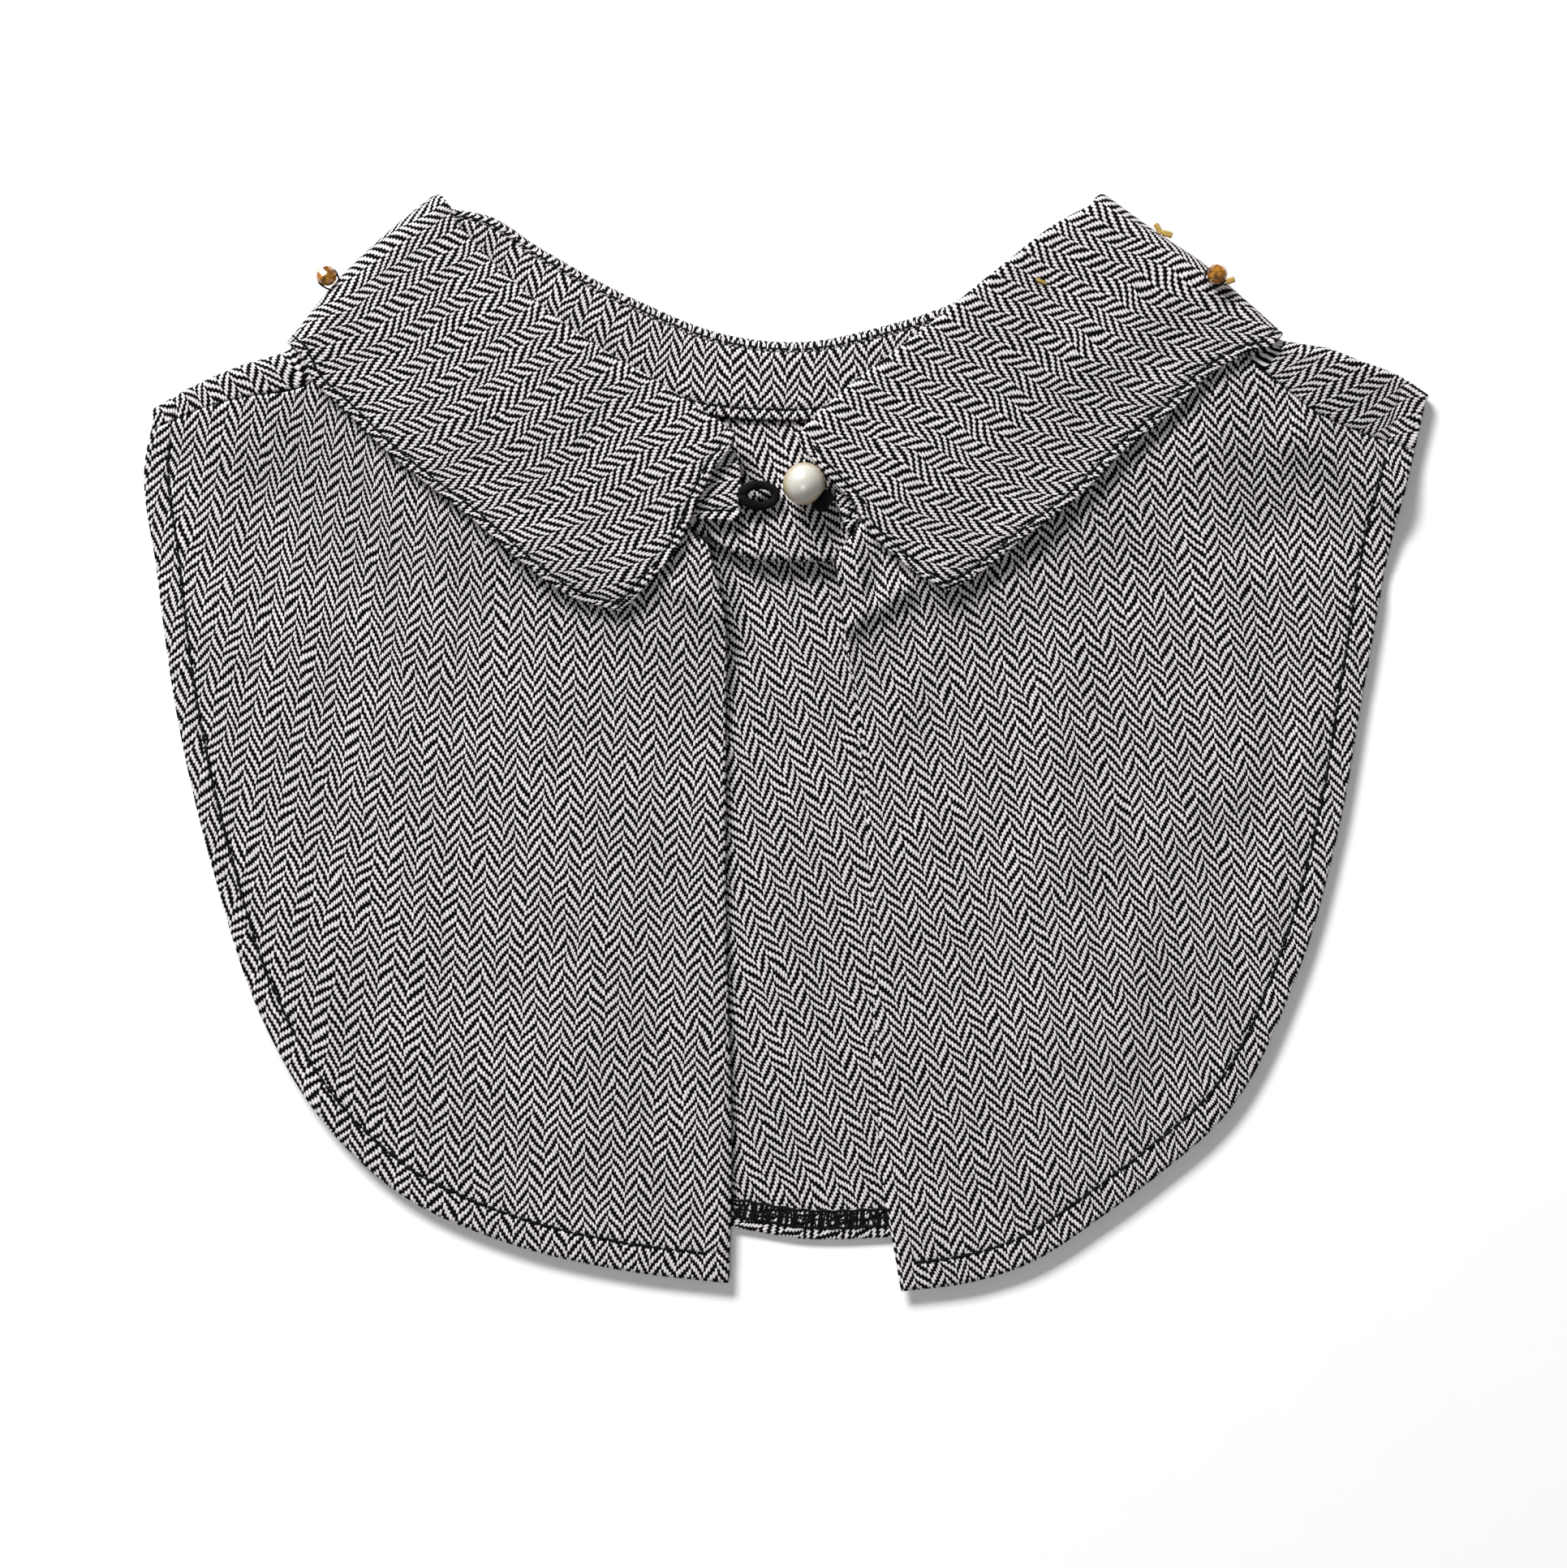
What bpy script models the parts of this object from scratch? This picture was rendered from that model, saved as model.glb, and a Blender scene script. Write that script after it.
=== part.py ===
"""A detachable shirt collar in black and white herringbone cloth, laid flat on its back.

The garment is a small bib of three panels that is worn under a jumper, so that only its pointed
collar shows. It lies as it was put down: the fall of the collar at the back is underneath, then
the back panel, the stand, the two front panels and, on top, the two leaves of the collar. The
cloth turns over at the sides of the neck and along the shoulders.

Left and right are as seen from above, with the neck at the top. X runs to the right, Y towards
the neck and Z up. The origin is on the surface that the garment lies on, below the middle of its
outline. Sizes in the tables are in millimetres.
"""

import bmesh
import bpy
import numpy as np
from mathutils import Matrix, Vector

MM = 0.001
ORIGIN = np.array([-0.05, -0.45, 0.0])  # of the model, in the plan of the tables below

# Cloth
CLOTH = 1.0  # wall of one layer
HALF = CLOTH / 2
GAP = 0.3  # left between two pieces at a seam
PLY = 1.9  # from the middle of one layer to the middle of the next
SEAM_EASE = 0.32  # each piece keeps this far from its seam line

# Levels of the layers' middles where the collar lies, from the surface up
COLLAR_LOFT = 3.2  # how much the collar holds the fronts up over the back
WRAP_LOFT = 2.1
SHOULDER_LOFT = 0.8
LEAF_LOFT = 0.8  # how much the fold of a leaf springs up
FOLD_WIDTH = 2.4  # from the stand's middle to the fall's, across the fold
FALL_UNDER = HALF
BACK_OVER_FALL = HALF + PLY
FRONT_TOP = BACK_OVER_FALL + PLY + COLLAR_LOFT
LEAF_TOP = FRONT_TOP + PLY
STAND_OVER = LEAF_TOP - FOLD_WIDTH
STAND_UNDER_SIDE = FALL_UNDER + FOLD_WIDTH
STAND_UNDER_MIDDLE = STAND_UNDER_SIDE + 0.8

# Where each of these levels holds, and where it has faded out: distances beyond a line or outline
FALL_FADES = (12, 42)
BACK_FADES = (5, 18)
SHOULDER_FADES = (3, 30)
FOLD_FADES = (22, 78)
WRAP_FADES = (2, 42)
WRAP_LEVEL_AT = 4.0  # from a turn's edge, where its upper layer's level is taken
TURN_LEVEL_AT = 3.0
COVER_END = 8.0  # over which the shoulder comes out of the fall's turn

# Collar
STAND_HEIGHT = 20.0
LIP = 2.2  # how far the fall reaches round the fold, to its seam with the stand
STAND_EDGE = HALF + LIP + GAP  # from the fold to the stand's upper edge

# Tuck of the back panel
TUCK_TOP = 4.9
TUCK_BEND = (TUCK_TOP - HALF) / 4  # radius of its two turns
TUCK_DEPTH = 4.6  # from the lip to the root
TUCK_SLOPE = 35  # degrees, of the slope that it runs out into at its ends
TUCK_MIDDLE_X = -1.0
TUCK_DEPTH_FADES = (12, 40)  # from the middle, where the tuck stops overhanging
TUCK_HEIGHT_FADES = (38, 58)  # and where it has sunk to nothing
TUCK_TURNS = 4  # straight pieces in each turn of the tuck
TUCK_CLEARS = 0.1  # left between the puffed cloth and a front over it, past one layer
TUCK_BLEND = 0.3  # softness of the change from a front's own level to one held up by the tuck
PUFF_ABOVE = (50, 79)  # Y from the lip's full height to nothing at the neck seam
PUFF_BELOW = (26, 41)  # Y from nothing to full height, below the lip
FLAT_BELOW = (46, 52)  # Y up to which the back lies on the surface below the tuck
TROUGH = {"x": -6, "y": 70, "across": 5, "along": 9, "share": 0.3}  # a soft dent above the tuck

# Button, loop and beads
PEARL_DIAMETER = 10.4
PEARL_AT = (4.2, 63.1)
SHANK_WAY = (0.75, -0.66)
SHANK_DIAMETERS = (6.4, 5.6)
SHANK_END = 7.5  # from the pearl's middle
LOOP_CORD = 2.4
LOOP_AT = (-6.8, 60.5)
LOOP_RADII = (4.1, 2.6)
AMBER_DIAMETER = 5.2

# Outlines, each a table of x and y along an edge
FOLD_LEFT = [(-13, 76.3), (-28, 86), (-54, 102.3), (-77, 123), (-82, 129), (-83.4, 132.6)]
EDGE_LEFT = [
    (-41.5, 32.3), (-53.4, 35.9), (-64.2, 43.5), (-77, 54.5), (-98, 70.9), (-109.6, 81.9),
    (-117.2, 89), (-120.6, 95.6),
]
FRONT_LEFT = [
    (-13, 76.3), (-14.2, 72), (-17.6, 67.5), (-22.8, 57.3), (-28, 46.1), (-33.6, 39.7), (-38.6, 34.4),
    (-41.5, 32.3),
]
WRAP_LEFT = [(-86, 135.7), (-98, 126), (-110, 114.6), (-123.2, 98.5)]
FOLD_RIGHT = [(2.2, 75.5), (12.4, 85.1), (33.8, 101.7), (52.6, 117.3), (67.6, 129.1), (74.4, 132.8)]
EDGE_RIGHT = [
    (39.5, 37.3), (44.4, 39.7), (57.8, 49.9), (72, 60.7), (83.4, 72.3), (93.6, 80.5), (105.8, 92),
    (115.2, 96.6), (119.6, 97.8),
]
FRONT_RIGHT = [
    (2.2, 75.5), (5.3, 70.7), (12.4, 62.7), (17.4, 57.3), (19.4, 52.9), (26.8, 45.5), (32.4, 41.1),
    (39.5, 37.3),
]
WRAP_RIGHT = [(77.2, 135.7), (91, 125.6), (102.4, 118), (113.4, 108.5), (122.2, 100.7)]
FOLD_BACK = [
    (-83.4, 132.6), (-74, 130.7), (-62, 123.1), (-38, 109.9), (-14, 100.7), (4, 99.2), (22, 102.7),
    (44.6, 110.8), (62, 122.5), (74.4, 132.8),
]
EDGE_BACK = [
    (-120.6, 95.6), (-98, 80), (-74, 68.5), (-48, 61), (-20, 58), (-1, 57.4), (20, 58), (50, 66),
    (82, 80), (119.6, 97.8),
]
SEAM_LEFT = [
    (-97.6, 118.8), (-89, 110.8), (-74, 94.7), (-54, 77.7), (-34, 62.3), (-30, 59), (-22, 54.8),
    (-12, 54),
]
SEAM_RIGHT = [
    (90.6, 120.6), (80, 112.2), (64.8, 101), (46, 86), (28, 69), (25, 64.8), (20, 57.4), (15, 51.5),
]
SEAM_BACK = [
    (-97.6, 118.8), (-81.8, 112), (-64, 100.3), (-42, 87.7), (-20, 80.8), (-4, 79.5), (6.4, 79.7),
    (17, 81.5), (33.2, 87.1), (52.4, 98.7), (74, 112), (90.6, 120.6),
]
STAND_END_LEFT = [(-13, 76.3), (-11.4, 66.7), (-12, 54)]
STAND_END_RIGHT = [(2.2, 75.5), (9.3, 67.5), (12, 62.4), (12.5, 58.5), (15, 51.5)]
NECK_LEFT = [(-89, 110.8), (-74, 94.7), (-54, 77.7), (-34, 62.3), (-30, 59), (-25, 53.6), (-19.6, 48.3)]
NECK_RIGHT = [(80, 112.2), (64.8, 101), (46, 86), (28, 69), (25, 64.8), (19.4, 55.6), (12, 45.5)]
SHOULDER_SEAM_LEFT = [(-89, 110.8), (-106, 96.7), (-120, 86.9), (-134, 84.7), (-143, 82.6), (-157, 77)]
SHOULDER_SEAM_RIGHT = [
    (80, 112.2), (100, 103), (112.2, 95.3), (122, 87.3), (131.2, 80.5), (140.8, 76.5), (154.8, 71.9),
]
SHOULDER_LEFT = [(-101.3, 122.8), (-110, 114.6), (-123, 98.8), (-134, 93.2), (-146, 88.3), (-157.2, 82.1)]
SHOULDER_RIGHT = [
    (93.4, 124), (102.4, 118), (113.4, 108.5), (122.4, 100.8), (130, 98.4), (140.8, 94.3),
    (152.4, 89.9), (158.6, 85.8),
]
OUTLINE_LEFT = [
    (-157, 77), (-158.4, 70), (-155.6, 42), (-150, 3), (-141.4, -33), (-129.2, -69.3), (-115, -93.3),
    (-95, -112), (-70, -123.4), (-40, -130.6), (-14.6, -133.7),
]
OUTLINE_RIGHT = [
    (154.8, 71.9), (149.4, 50.7), (142.6, 14.7), (136.2, -21.3), (126, -57.3), (107.2, -93.3),
    (92, -106.6), (77.6, -117.3), (58.6, -129.3), (46, -133.3), (28.4, -135.7),
]
OPENING_LEFT = [(-19.6, 48.3), (-16, 33.7), (-15.4, 2.7), (-15.4, -37.3), (-14, -105.3), (-14.6, -133.7)]
OPENING_RIGHT = [(12, 45.5), (14.6, 25.7), (18, 2.7), (21, -37.3), (24.6, -113.3), (28.4, -135.7)]
HEM_BACK = [
    (-156.6, 80), (-155.6, 70), (-147.2, 3), (-138.4, -33), (-126, -68), (-111, -91), (-92, -107),
    (-68, -116), (-40, -120), (-14, -120.6), (4, -123.3), (25, -122.9), (56, -119.5), (86, -106),
    (106, -88), (123, -56), (133.4, -21), (139.6, 14.5), (146.4, 50), (152.4, 70.6), (156.4, 80),
]

# Soft folds of the fronts: from x0, y0 to x1, y1, with the height and the half width of each
FOLDS = [
    {"x0": -60, "y0": 20, "x1": -44, "y1": -70, "height": 0.8, "width": 16.0},
    {"x0": -132, "y0": 70, "x1": -118, "y1": 20, "height": 0.9, "width": 12.0},
    {"x0": 126, "y0": 74, "x1": 150, "y1": 62, "height": 2.6, "width": 7.5},
    {"x0": 104, "y0": 70, "x1": 112, "y1": -10, "height": 1.4, "width": 11.0},
    {"x0": 62, "y0": 30, "x1": 78, "y1": -70, "height": 1.0, "width": 15.0},
]

# Lip of the tuck, where the cloth turns under
TUCK_LIP = [(-20, 50.5), (-15, 47.4), (-10, 44.9), (-2, 44.3), (8, 44.3), (19, 44.9)]


def smooth(points, t):
    """Points at the shares t of the length of a smooth line through a table's points."""
    points = np.asarray(points, float)
    t = np.atleast_1d(np.asarray(t, float))
    steps = np.linalg.norm(np.diff(points, axis=0), axis=1)
    knots = np.concatenate([[0.0], np.cumsum(steps)])
    slopes = np.diff(points, axis=0) / steps[:, None]
    weight = steps[1:] / (steps[1:] + steps[:-1])
    inner = slopes[:-1] * weight[:, None] + slopes[1:] * (1 - weight)[:, None]
    tangents = np.vstack([slopes[:1], inner, slopes[-1:]])
    at = np.clip(t, 0, 1) * knots[-1]
    i = np.clip(np.searchsorted(knots, at, side="right") - 1, 0, len(steps) - 1)
    h = steps[i][:, None]
    f = ((at - knots[i]) / steps[i])[:, None]
    return (
        (2 * f**3 - 3 * f**2 + 1) * points[i]
        + (f**3 - 2 * f**2 + f) * h * tangents[i]
        + (3 * f**2 - 2 * f**3) * points[i + 1]
        + (f**3 - f**2) * h * tangents[i + 1]
    )


def unit(vectors):
    """Vectors brought to length one."""
    return vectors / np.linalg.norm(vectors, axis=-1, keepdims=True)


def turned(vectors):
    """Plan vectors turned a quarter turn to the left."""
    return np.stack([-vectors[..., 1], vectors[..., 0]], axis=-1)


def direction(points, t):
    """Unit directions along a smooth line at the shares t of its length."""
    step = 0.002
    return unit(smooth(points, np.asarray(t) + step) - smooth(points, np.asarray(t) - step))


def patch(near, far, start, end, t, s):
    """A plan that fills four edges: near and far run with t, start and end run with s."""
    t, s = np.asarray(t, float), np.asarray(s, float)
    a, b = near[:, None], far[:, None]
    c, d = start[None], end[None]
    u, v = t[:, None, None], s[None, :, None]
    ruled = (1 - v) * a + v * b + (1 - u) * c + u * d
    corners = (1 - u) * ((1 - v) * near[0] + v * far[0]) + u * ((1 - v) * near[-1] + v * far[-1])
    return ruled - corners


def fade(distance, near, far):
    """One up to the near distance, nothing from the far one on, and a soft change between."""
    f = np.clip((np.asarray(distance, float) - near) / (far - near), 0, 1)
    return 1 - f * f * (3 - 2 * f)


def off_line(line, x, y):
    """Plan distance of points from a line of straight pieces."""
    line = np.asarray(line, float)
    p = np.stack([x, y], axis=-1)[..., None, :]
    a, d = line[:-1], np.diff(line, axis=0)
    share = np.clip(((p - a) * d).sum(-1) / (d * d).sum(-1), 0, 1)
    return np.linalg.norm(p - a - share[..., None] * d, axis=-1).min(axis=-1)


def outside(outline, x, y):
    """Plan distance of points from a closed outline, negative inside it."""
    ring = np.vstack([outline, outline[:1]])
    x0, y0, x1, y1 = ring[:-1, 0], ring[:-1, 1], ring[1:, 0], ring[1:, 1]
    px, py = x[..., None], y[..., None]
    rise = np.where(y1 == y0, 1.0, y1 - y0)
    crosses = ((y0 > py) != (y1 > py)) & (px < x0 + (py - y0) * (x1 - x0) / rise)
    inside = crosses.sum(axis=-1) % 2 == 1
    return np.where(inside, -1, 1) * off_line(ring, x, y)


def line_of(points, count=40):
    """A smooth line through a table's points, as short straight pieces."""
    return smooth(points, np.linspace(0, 1, count))


FALL_OUTLINE = np.vstack([line_of(FOLD_BACK), line_of(EDGE_BACK)[::-1]])
NECK_CORNERS = [WRAP_RIGHT[0], WRAP_LEFT[0]]
BACK_OUTLINE = np.vstack(
    [line_of(HEM_BACK, 80), line_of(SHOULDER_RIGHT)[::-1], NECK_CORNERS, line_of(SHOULDER_LEFT)]
)


def ridge(rows, x, y):
    """Height that a table of soft folds adds, each a rounded ridge that dies out at its ends."""
    added = np.zeros_like(x)
    for row in rows:
        ends = [(row["x0"], row["y0"]), (row["x1"], row["y1"])]
        added = added + row["height"] * np.exp(-((off_line(ends, x, y) / row["width"]) ** 2))
    return added


def off_middle(x):
    """How far a place is to the left or right of the middle of the tuck."""
    return np.abs(x - TUCK_MIDDLE_X)


def back_height(x, y):
    """Middle of the back panel: on the surface, and up over the fall that lies under it."""
    hollow = fade(off_middle(x), *TUCK_HEIGHT_FADES) * fade(y, *FLAT_BELOW)
    return HALF + PLY * fade(outside(FALL_OUTLINE, x, y), *FALL_FADES) * (1 - hollow)


def puff(x, y):
    """How far the cloth above the tuck has risen, from nothing at the neck seam to one at the lip."""
    across = fade(off_middle(x), *TUCK_HEIGHT_FADES)
    along = fade(y, *PUFF_ABOVE) * (1 - fade(y, *PUFF_BELOW))
    from_trough = ((x - TROUGH["x"]) / TROUGH["across"]) ** 2 + ((y - TROUGH["y"]) / TROUGH["along"]) ** 2
    return across * along * (1 - TROUGH["share"] * np.exp(-from_trough))


def front_height(x, y):
    """Middle of the layer that the two fronts make, held up near the collar and the shoulders."""
    from_fold = np.minimum(off_line(line_of(FOLD_LEFT), x, y), off_line(line_of(FOLD_RIGHT), x, y))
    from_wrap = np.minimum(off_line(line_of(WRAP_LEFT), x, y), off_line(line_of(WRAP_RIGHT), x, y))
    from_shoulder = np.minimum(
        off_line(line_of(SHOULDER_LEFT), x, y), off_line(line_of(SHOULDER_RIGHT), x, y)
    )
    by_fold = fade(from_fold, *FOLD_FADES)
    by_wrap = fade(from_wrap, *WRAP_FADES) * WRAP_LOFT / COLLAR_LOFT
    loft = COLLAR_LOFT * (1 - (1 - by_fold) * (1 - by_wrap))
    over_back = PLY * fade(outside(BACK_OUTLINE, x, y), *BACK_FADES)
    over_fall = PLY * fade(outside(FALL_OUTLINE, x, y), *FALL_FADES)
    by_shoulder = SHOULDER_LOFT * fade(from_shoulder, *SHOULDER_FADES)
    free = HALF + over_fall + over_back + loft + by_shoulder + ridge(FOLDS, x, y)
    needed = HALF + (TUCK_TOP - HALF) * puff(x, y) + PLY + TUCK_CLEARS
    return (free + needed + np.sqrt((free - needed) ** 2 + TUCK_BLEND)) / 2


def leaf_height(x, y, rise):
    """Middle of a leaf of the collar: one layer above the fronts, and springing up at its fold."""
    return front_height(x, y) + PLY + rise


def in_metres(points):
    """Points brought from the plan of the tables, in millimetres, to the model, in metres."""
    return (np.asarray(points, float) - ORIGIN) * MM


def collection(name):
    """A new collection in the scene."""
    made = bpy.data.collections.new(name)
    bpy.context.scene.collection.children.link(made)
    return made


def material(name, colour, roughness, metallic=0.0):
    """A material with one plain finish."""
    made = bpy.data.materials.new(name)
    made.use_nodes = True
    shader = made.node_tree.nodes["Principled BSDF"]
    shader.inputs["Base Color"].default_value = (*colour, 1)
    shader.inputs["Roughness"].default_value = roughness
    shader.inputs["Metallic"].default_value = metallic
    return made


def place(name, mesh, finish, group):
    """An object for a finished mesh, in its collection and with its material."""
    obj = bpy.data.objects.new(name, mesh)
    mesh.materials.append(finish)
    group.objects.link(obj)
    return obj


def cloth(name, grid, finish, group, up=True):
    """A wall of cloth lofted through the rows of a grid of points, which are its middle."""
    rows, columns = grid.shape[:2]
    i, j = np.meshgrid(np.arange(rows - 1), np.arange(columns - 1), indexing="ij")
    corner = (i * columns + j).ravel()
    order = [corner, corner + columns, corner + columns + 1, corner + 1]
    faces = np.stack(order if up else order[::-1], axis=1)
    mesh = bpy.data.meshes.new(name)
    mesh.from_pydata(in_metres(grid.reshape(-1, 3)).tolist(), [], faces.tolist())
    mesh.validate()
    mesh.shade_smooth()
    obj = place(name, mesh, finish, group)
    wall = obj.modifiers.new("wall", "SOLIDIFY")
    wall.thickness = CLOTH * MM
    wall.offset = 0
    return obj


def raised(plan, height):
    """A plan of points brought to a height worked out from x and y."""
    z = height(plan[..., 0], plan[..., 1])
    return np.concatenate([plan, z[..., None]], axis=-1)


def meet(curve, t, first, last):
    """A curve moved softly, so that its two ends meet two given points."""
    t = np.asarray(t, float)[:, None]
    return curve + (1 - t) ** 3 * (first - curve[0]) + t**3 * (last - curve[-1])


# What each side of the collar is made from
SIDES = {
    "left": {
        "fold": FOLD_LEFT,
        "edge": EDGE_LEFT,
        "front": FRONT_LEFT,
        "wrap": WRAP_LEFT,
        "seam": SEAM_LEFT,
        "end": STAND_END_LEFT,
        "shoulder": SHOULDER_LEFT,
        "shoulder_seam": SHOULDER_SEAM_LEFT,
        "covered": 34.5,
        "sign": 1,
    },
    "right": {
        "fold": FOLD_RIGHT,
        "edge": EDGE_RIGHT,
        "front": FRONT_RIGHT,
        "wrap": WRAP_RIGHT,
        "seam": SEAM_RIGHT,
        "end": STAND_END_RIGHT,
        "shoulder": SHOULDER_RIGHT,
        "shoulder_seam": SHOULDER_SEAM_RIGHT,
        "covered": 39.0,
        "sign": -1,
    },
}
TURN_ANGLES = np.array([54.0, 18.0, -18.0, -54.0])  # round the turns at the neck and the shoulders
FALL_SHARES = np.array([0.07, 0.2, 0.36, 0.52, 0.68, 0.84, 1.0])  # across the fall, from its fold
STAND_SHARES = np.array([0.0, 0.5, 1.0])
ACROSS = np.linspace(-1, 1, 29)
BACK_SHARES = 0.5 + 0.4 * ACROSS + 0.1 * ACROSS**3  # sections of the back, closer in the middle


def wrap(side, s):
    """The turn of the fall at one side of the neck, at the shares s of its edge from the fold.

    It gives the way in, the radius of the turn, the height of its axis and the axis in plan.
    """
    table, sign = SIDES[side]["wrap"], SIDES[side]["sign"]
    inward = turned(direction(table, s)) * sign
    edge = smooth(table, s)
    x, y = (edge + inward * WRAP_LEVEL_AT).T
    radius = (front_height(x, y) + PLY - FALL_UNDER) / 2
    axis = edge + inward * (HALF + radius)[:, None]
    return {"inward": inward, "radius": radius, "axis_z": radius + FALL_UNDER, "axis": axis}


def shoulder_turn(side, s):
    """The turn over a shoulder, inside that of the fall where the fall covers it."""
    table, sign, reach = SIDES[side]["shoulder"], SIDES[side]["sign"], SIDES[side]["covered"]
    inward = turned(direction(table, s)) * sign
    edge = smooth(table, s)
    covered = fade(np.linalg.norm(edge - edge[0], axis=-1), reach, reach + COVER_END)
    x, y = (edge + inward * TURN_LEVEL_AT).T
    low = back_height(x, y)
    radius = (front_height(x, y) - low) / 2
    axis = edge + inward * (HALF + PLY * covered + radius)[:, None]
    return {"inward": inward, "radius": radius, "axis_z": low + radius, "axis": axis}


def shoulder(side, s):
    """The turn of the back panel over a shoulder, moved at the neck to meet the end of its seam."""
    turn = shoulder_turn(side, s)
    moved = neck_end(side) - shoulder_turn(side, np.array([0.0]))["axis"][0]
    turn["axis"] = turn["axis"] + (1 - s[:, None]) ** 3 * moved
    return turn


def edge_length(table):
    """Length of a table's smooth line."""
    return np.linalg.norm(np.diff(line_of(table), axis=0), axis=1).sum()


def neck_end(side):
    """Where the neck seam reaches the turn at one side, on the axis of the turn."""
    share = STAND_HEIGHT / edge_length(SIDES[side]["wrap"])
    return wrap(side, np.array([share]))["axis"][0]


def back_seam():
    """The neck seam of the back at its sections."""
    return meet(smooth(SEAM_BACK, BACK_SHARES), BACK_SHARES, neck_end("left"), neck_end("right"))


def round_turn(turn, angles):
    """Rows that go round the axis of a turn, from above it to below it."""
    angles = np.radians(np.asarray(angles, float))[:, None]
    plan = turn["axis"][None] - turn["inward"][None] * (turn["radius"] * np.cos(angles))[..., None]
    z = turn["axis_z"] + turn["radius"] * np.sin(angles)
    return np.concatenate([plan, z[..., None]], axis=-1)


def front_panel(name, neck, outline, seam, opening, finish, group, up):
    """One front: from its shoulder seam round to its opening edge, and from neck to hem."""
    t = np.linspace(0, 1, 21)
    s = np.linspace(0, 1, 15) ** 1.15
    plan = patch(smooth(neck, t), smooth(outline, t), smooth(seam, s), smooth(opening, s), t, s)
    plan[0] = plan[0] + unit(plan[1] - plan[0]) * SEAM_EASE
    plan[:, 0] = plan[:, 0] + unit(plan[:, 1] - plan[:, 0]) * SEAM_EASE
    return cloth(name, raised(plan, front_height), finish, group, up)


def tuck_profile(folded):
    """The tuck in section, from fully folded at one to a plain slope at nothing.

    The cloth turns down at the lip and back at the root, by the same angle and radius, with a
    straight run between. It gives the places along the cloth, from the first turn, and the heights.
    """
    angle = np.radians(max(TUCK_SLOPE, 180 * min(2 * folded, 1)))
    overlap = TUCK_DEPTH - HALF - 2 * TUCK_BEND
    run = 2 * TUCK_BEND / np.tan(angle / 2) + max(2 * folded - 1, 0) * overlap
    turns = np.linspace(0, angle, TUCK_TURNS + 1)
    lip_x = TUCK_BEND * np.sin(turns)
    lip_z = TUCK_TOP - TUCK_BEND * (1 - np.cos(turns))
    root_x = lip_x[-1] + run * np.cos(angle) + TUCK_BEND * (np.sin(angle) - np.sin(turns[::-1]))
    root_z = HALF + TUCK_BEND * (1 - np.cos(turns[::-1]))
    along = np.concatenate([[-5.4, -2.4], lip_x, root_x, root_x[-1] + [2.5, 6.5]])
    up = np.concatenate([[TUCK_TOP, TUCK_TOP], lip_z, root_z, [HALF, HALF]])
    return along, up


def back_section(section):
    """One section of the back, from the neck seam to the hem, with the tuck where it is.

    It gives the section's points and the shares of its length that they are at.
    """
    steps = np.linalg.norm(np.diff(section, axis=0), axis=1)
    length = np.concatenate([[0.0], np.cumsum(steps)])
    lip_x, lip_y = np.array(TUCK_LIP, float).T
    below = np.interp(section[:, 0], lip_x, lip_y) - section[:, 1]
    lip = min(np.interp(0, below, length), length[-1] / 2)
    middle = off_middle(np.interp(lip, length, section[:, 0]))
    risen = fade(middle, *TUCK_HEIGHT_FADES)
    along, up = tuck_profile(float(fade(middle, *TUCK_DEPTH_FADES)))
    tuck = lip - HALF - TUCK_BEND + along * (2 - risen)
    top = np.linspace(SEAM_EASE, tuck[0], 5)[:-1]
    rest = np.linspace(tuck[-1], length[-1], 11)[1:]
    places = np.concatenate([top, tuck, rest])
    x = np.interp(places, length, section[:, 0])
    y = np.interp(places, length, section[:, 1])
    z = back_height(x, y)
    above, turned_under = slice(0, len(top)), slice(len(top), len(top) + len(up))
    z[above] = z[above] + (TUCK_TOP - z[above]) * puff(x[above], y[above])
    z[turned_under] = z[turned_under] + (up - z[turned_under]) * risen
    return np.stack([x, y, z], axis=-1), places / length[-1]


def over_shoulder(side, shares):
    """Rows of the back panel from its seam with a front, over the shoulder, to under it."""
    turn = shoulder(side, shares)
    way = smooth(SIDES[side]["shoulder_seam"], shares) - turn["axis"]
    span = np.linalg.norm(way, axis=-1, keepdims=True)
    seam = raised(turn["axis"] + way * (1 - SEAM_EASE / span), front_height)
    midway = raised(turn["axis"] + way / 2, front_height)
    return [seam, midway] + list(round_turn(turn, [90, *TURN_ANGLES]))


def back_panel(finish, group):
    """The back: one sheet that turns over both shoulders to its seams with the fronts."""
    t = BACK_SHARES
    fine = np.linspace(0, 1, 80)
    starts, ends = shoulder("left", fine)["axis"], shoulder("right", fine)["axis"]
    far = meet(smooth(HEM_BACK, t), t, starts[-1], ends[-1])
    made = [back_section(section) for section in patch(back_seam(), far, starts, ends, t, fine)]
    left, right = over_shoulder("left", made[0][1]), over_shoulder("right", made[-1][1])
    sheet = left + [points for points, shares in made] + right[::-1]
    return cloth("back_panel", np.array(sheet), finish, group, False)


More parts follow.
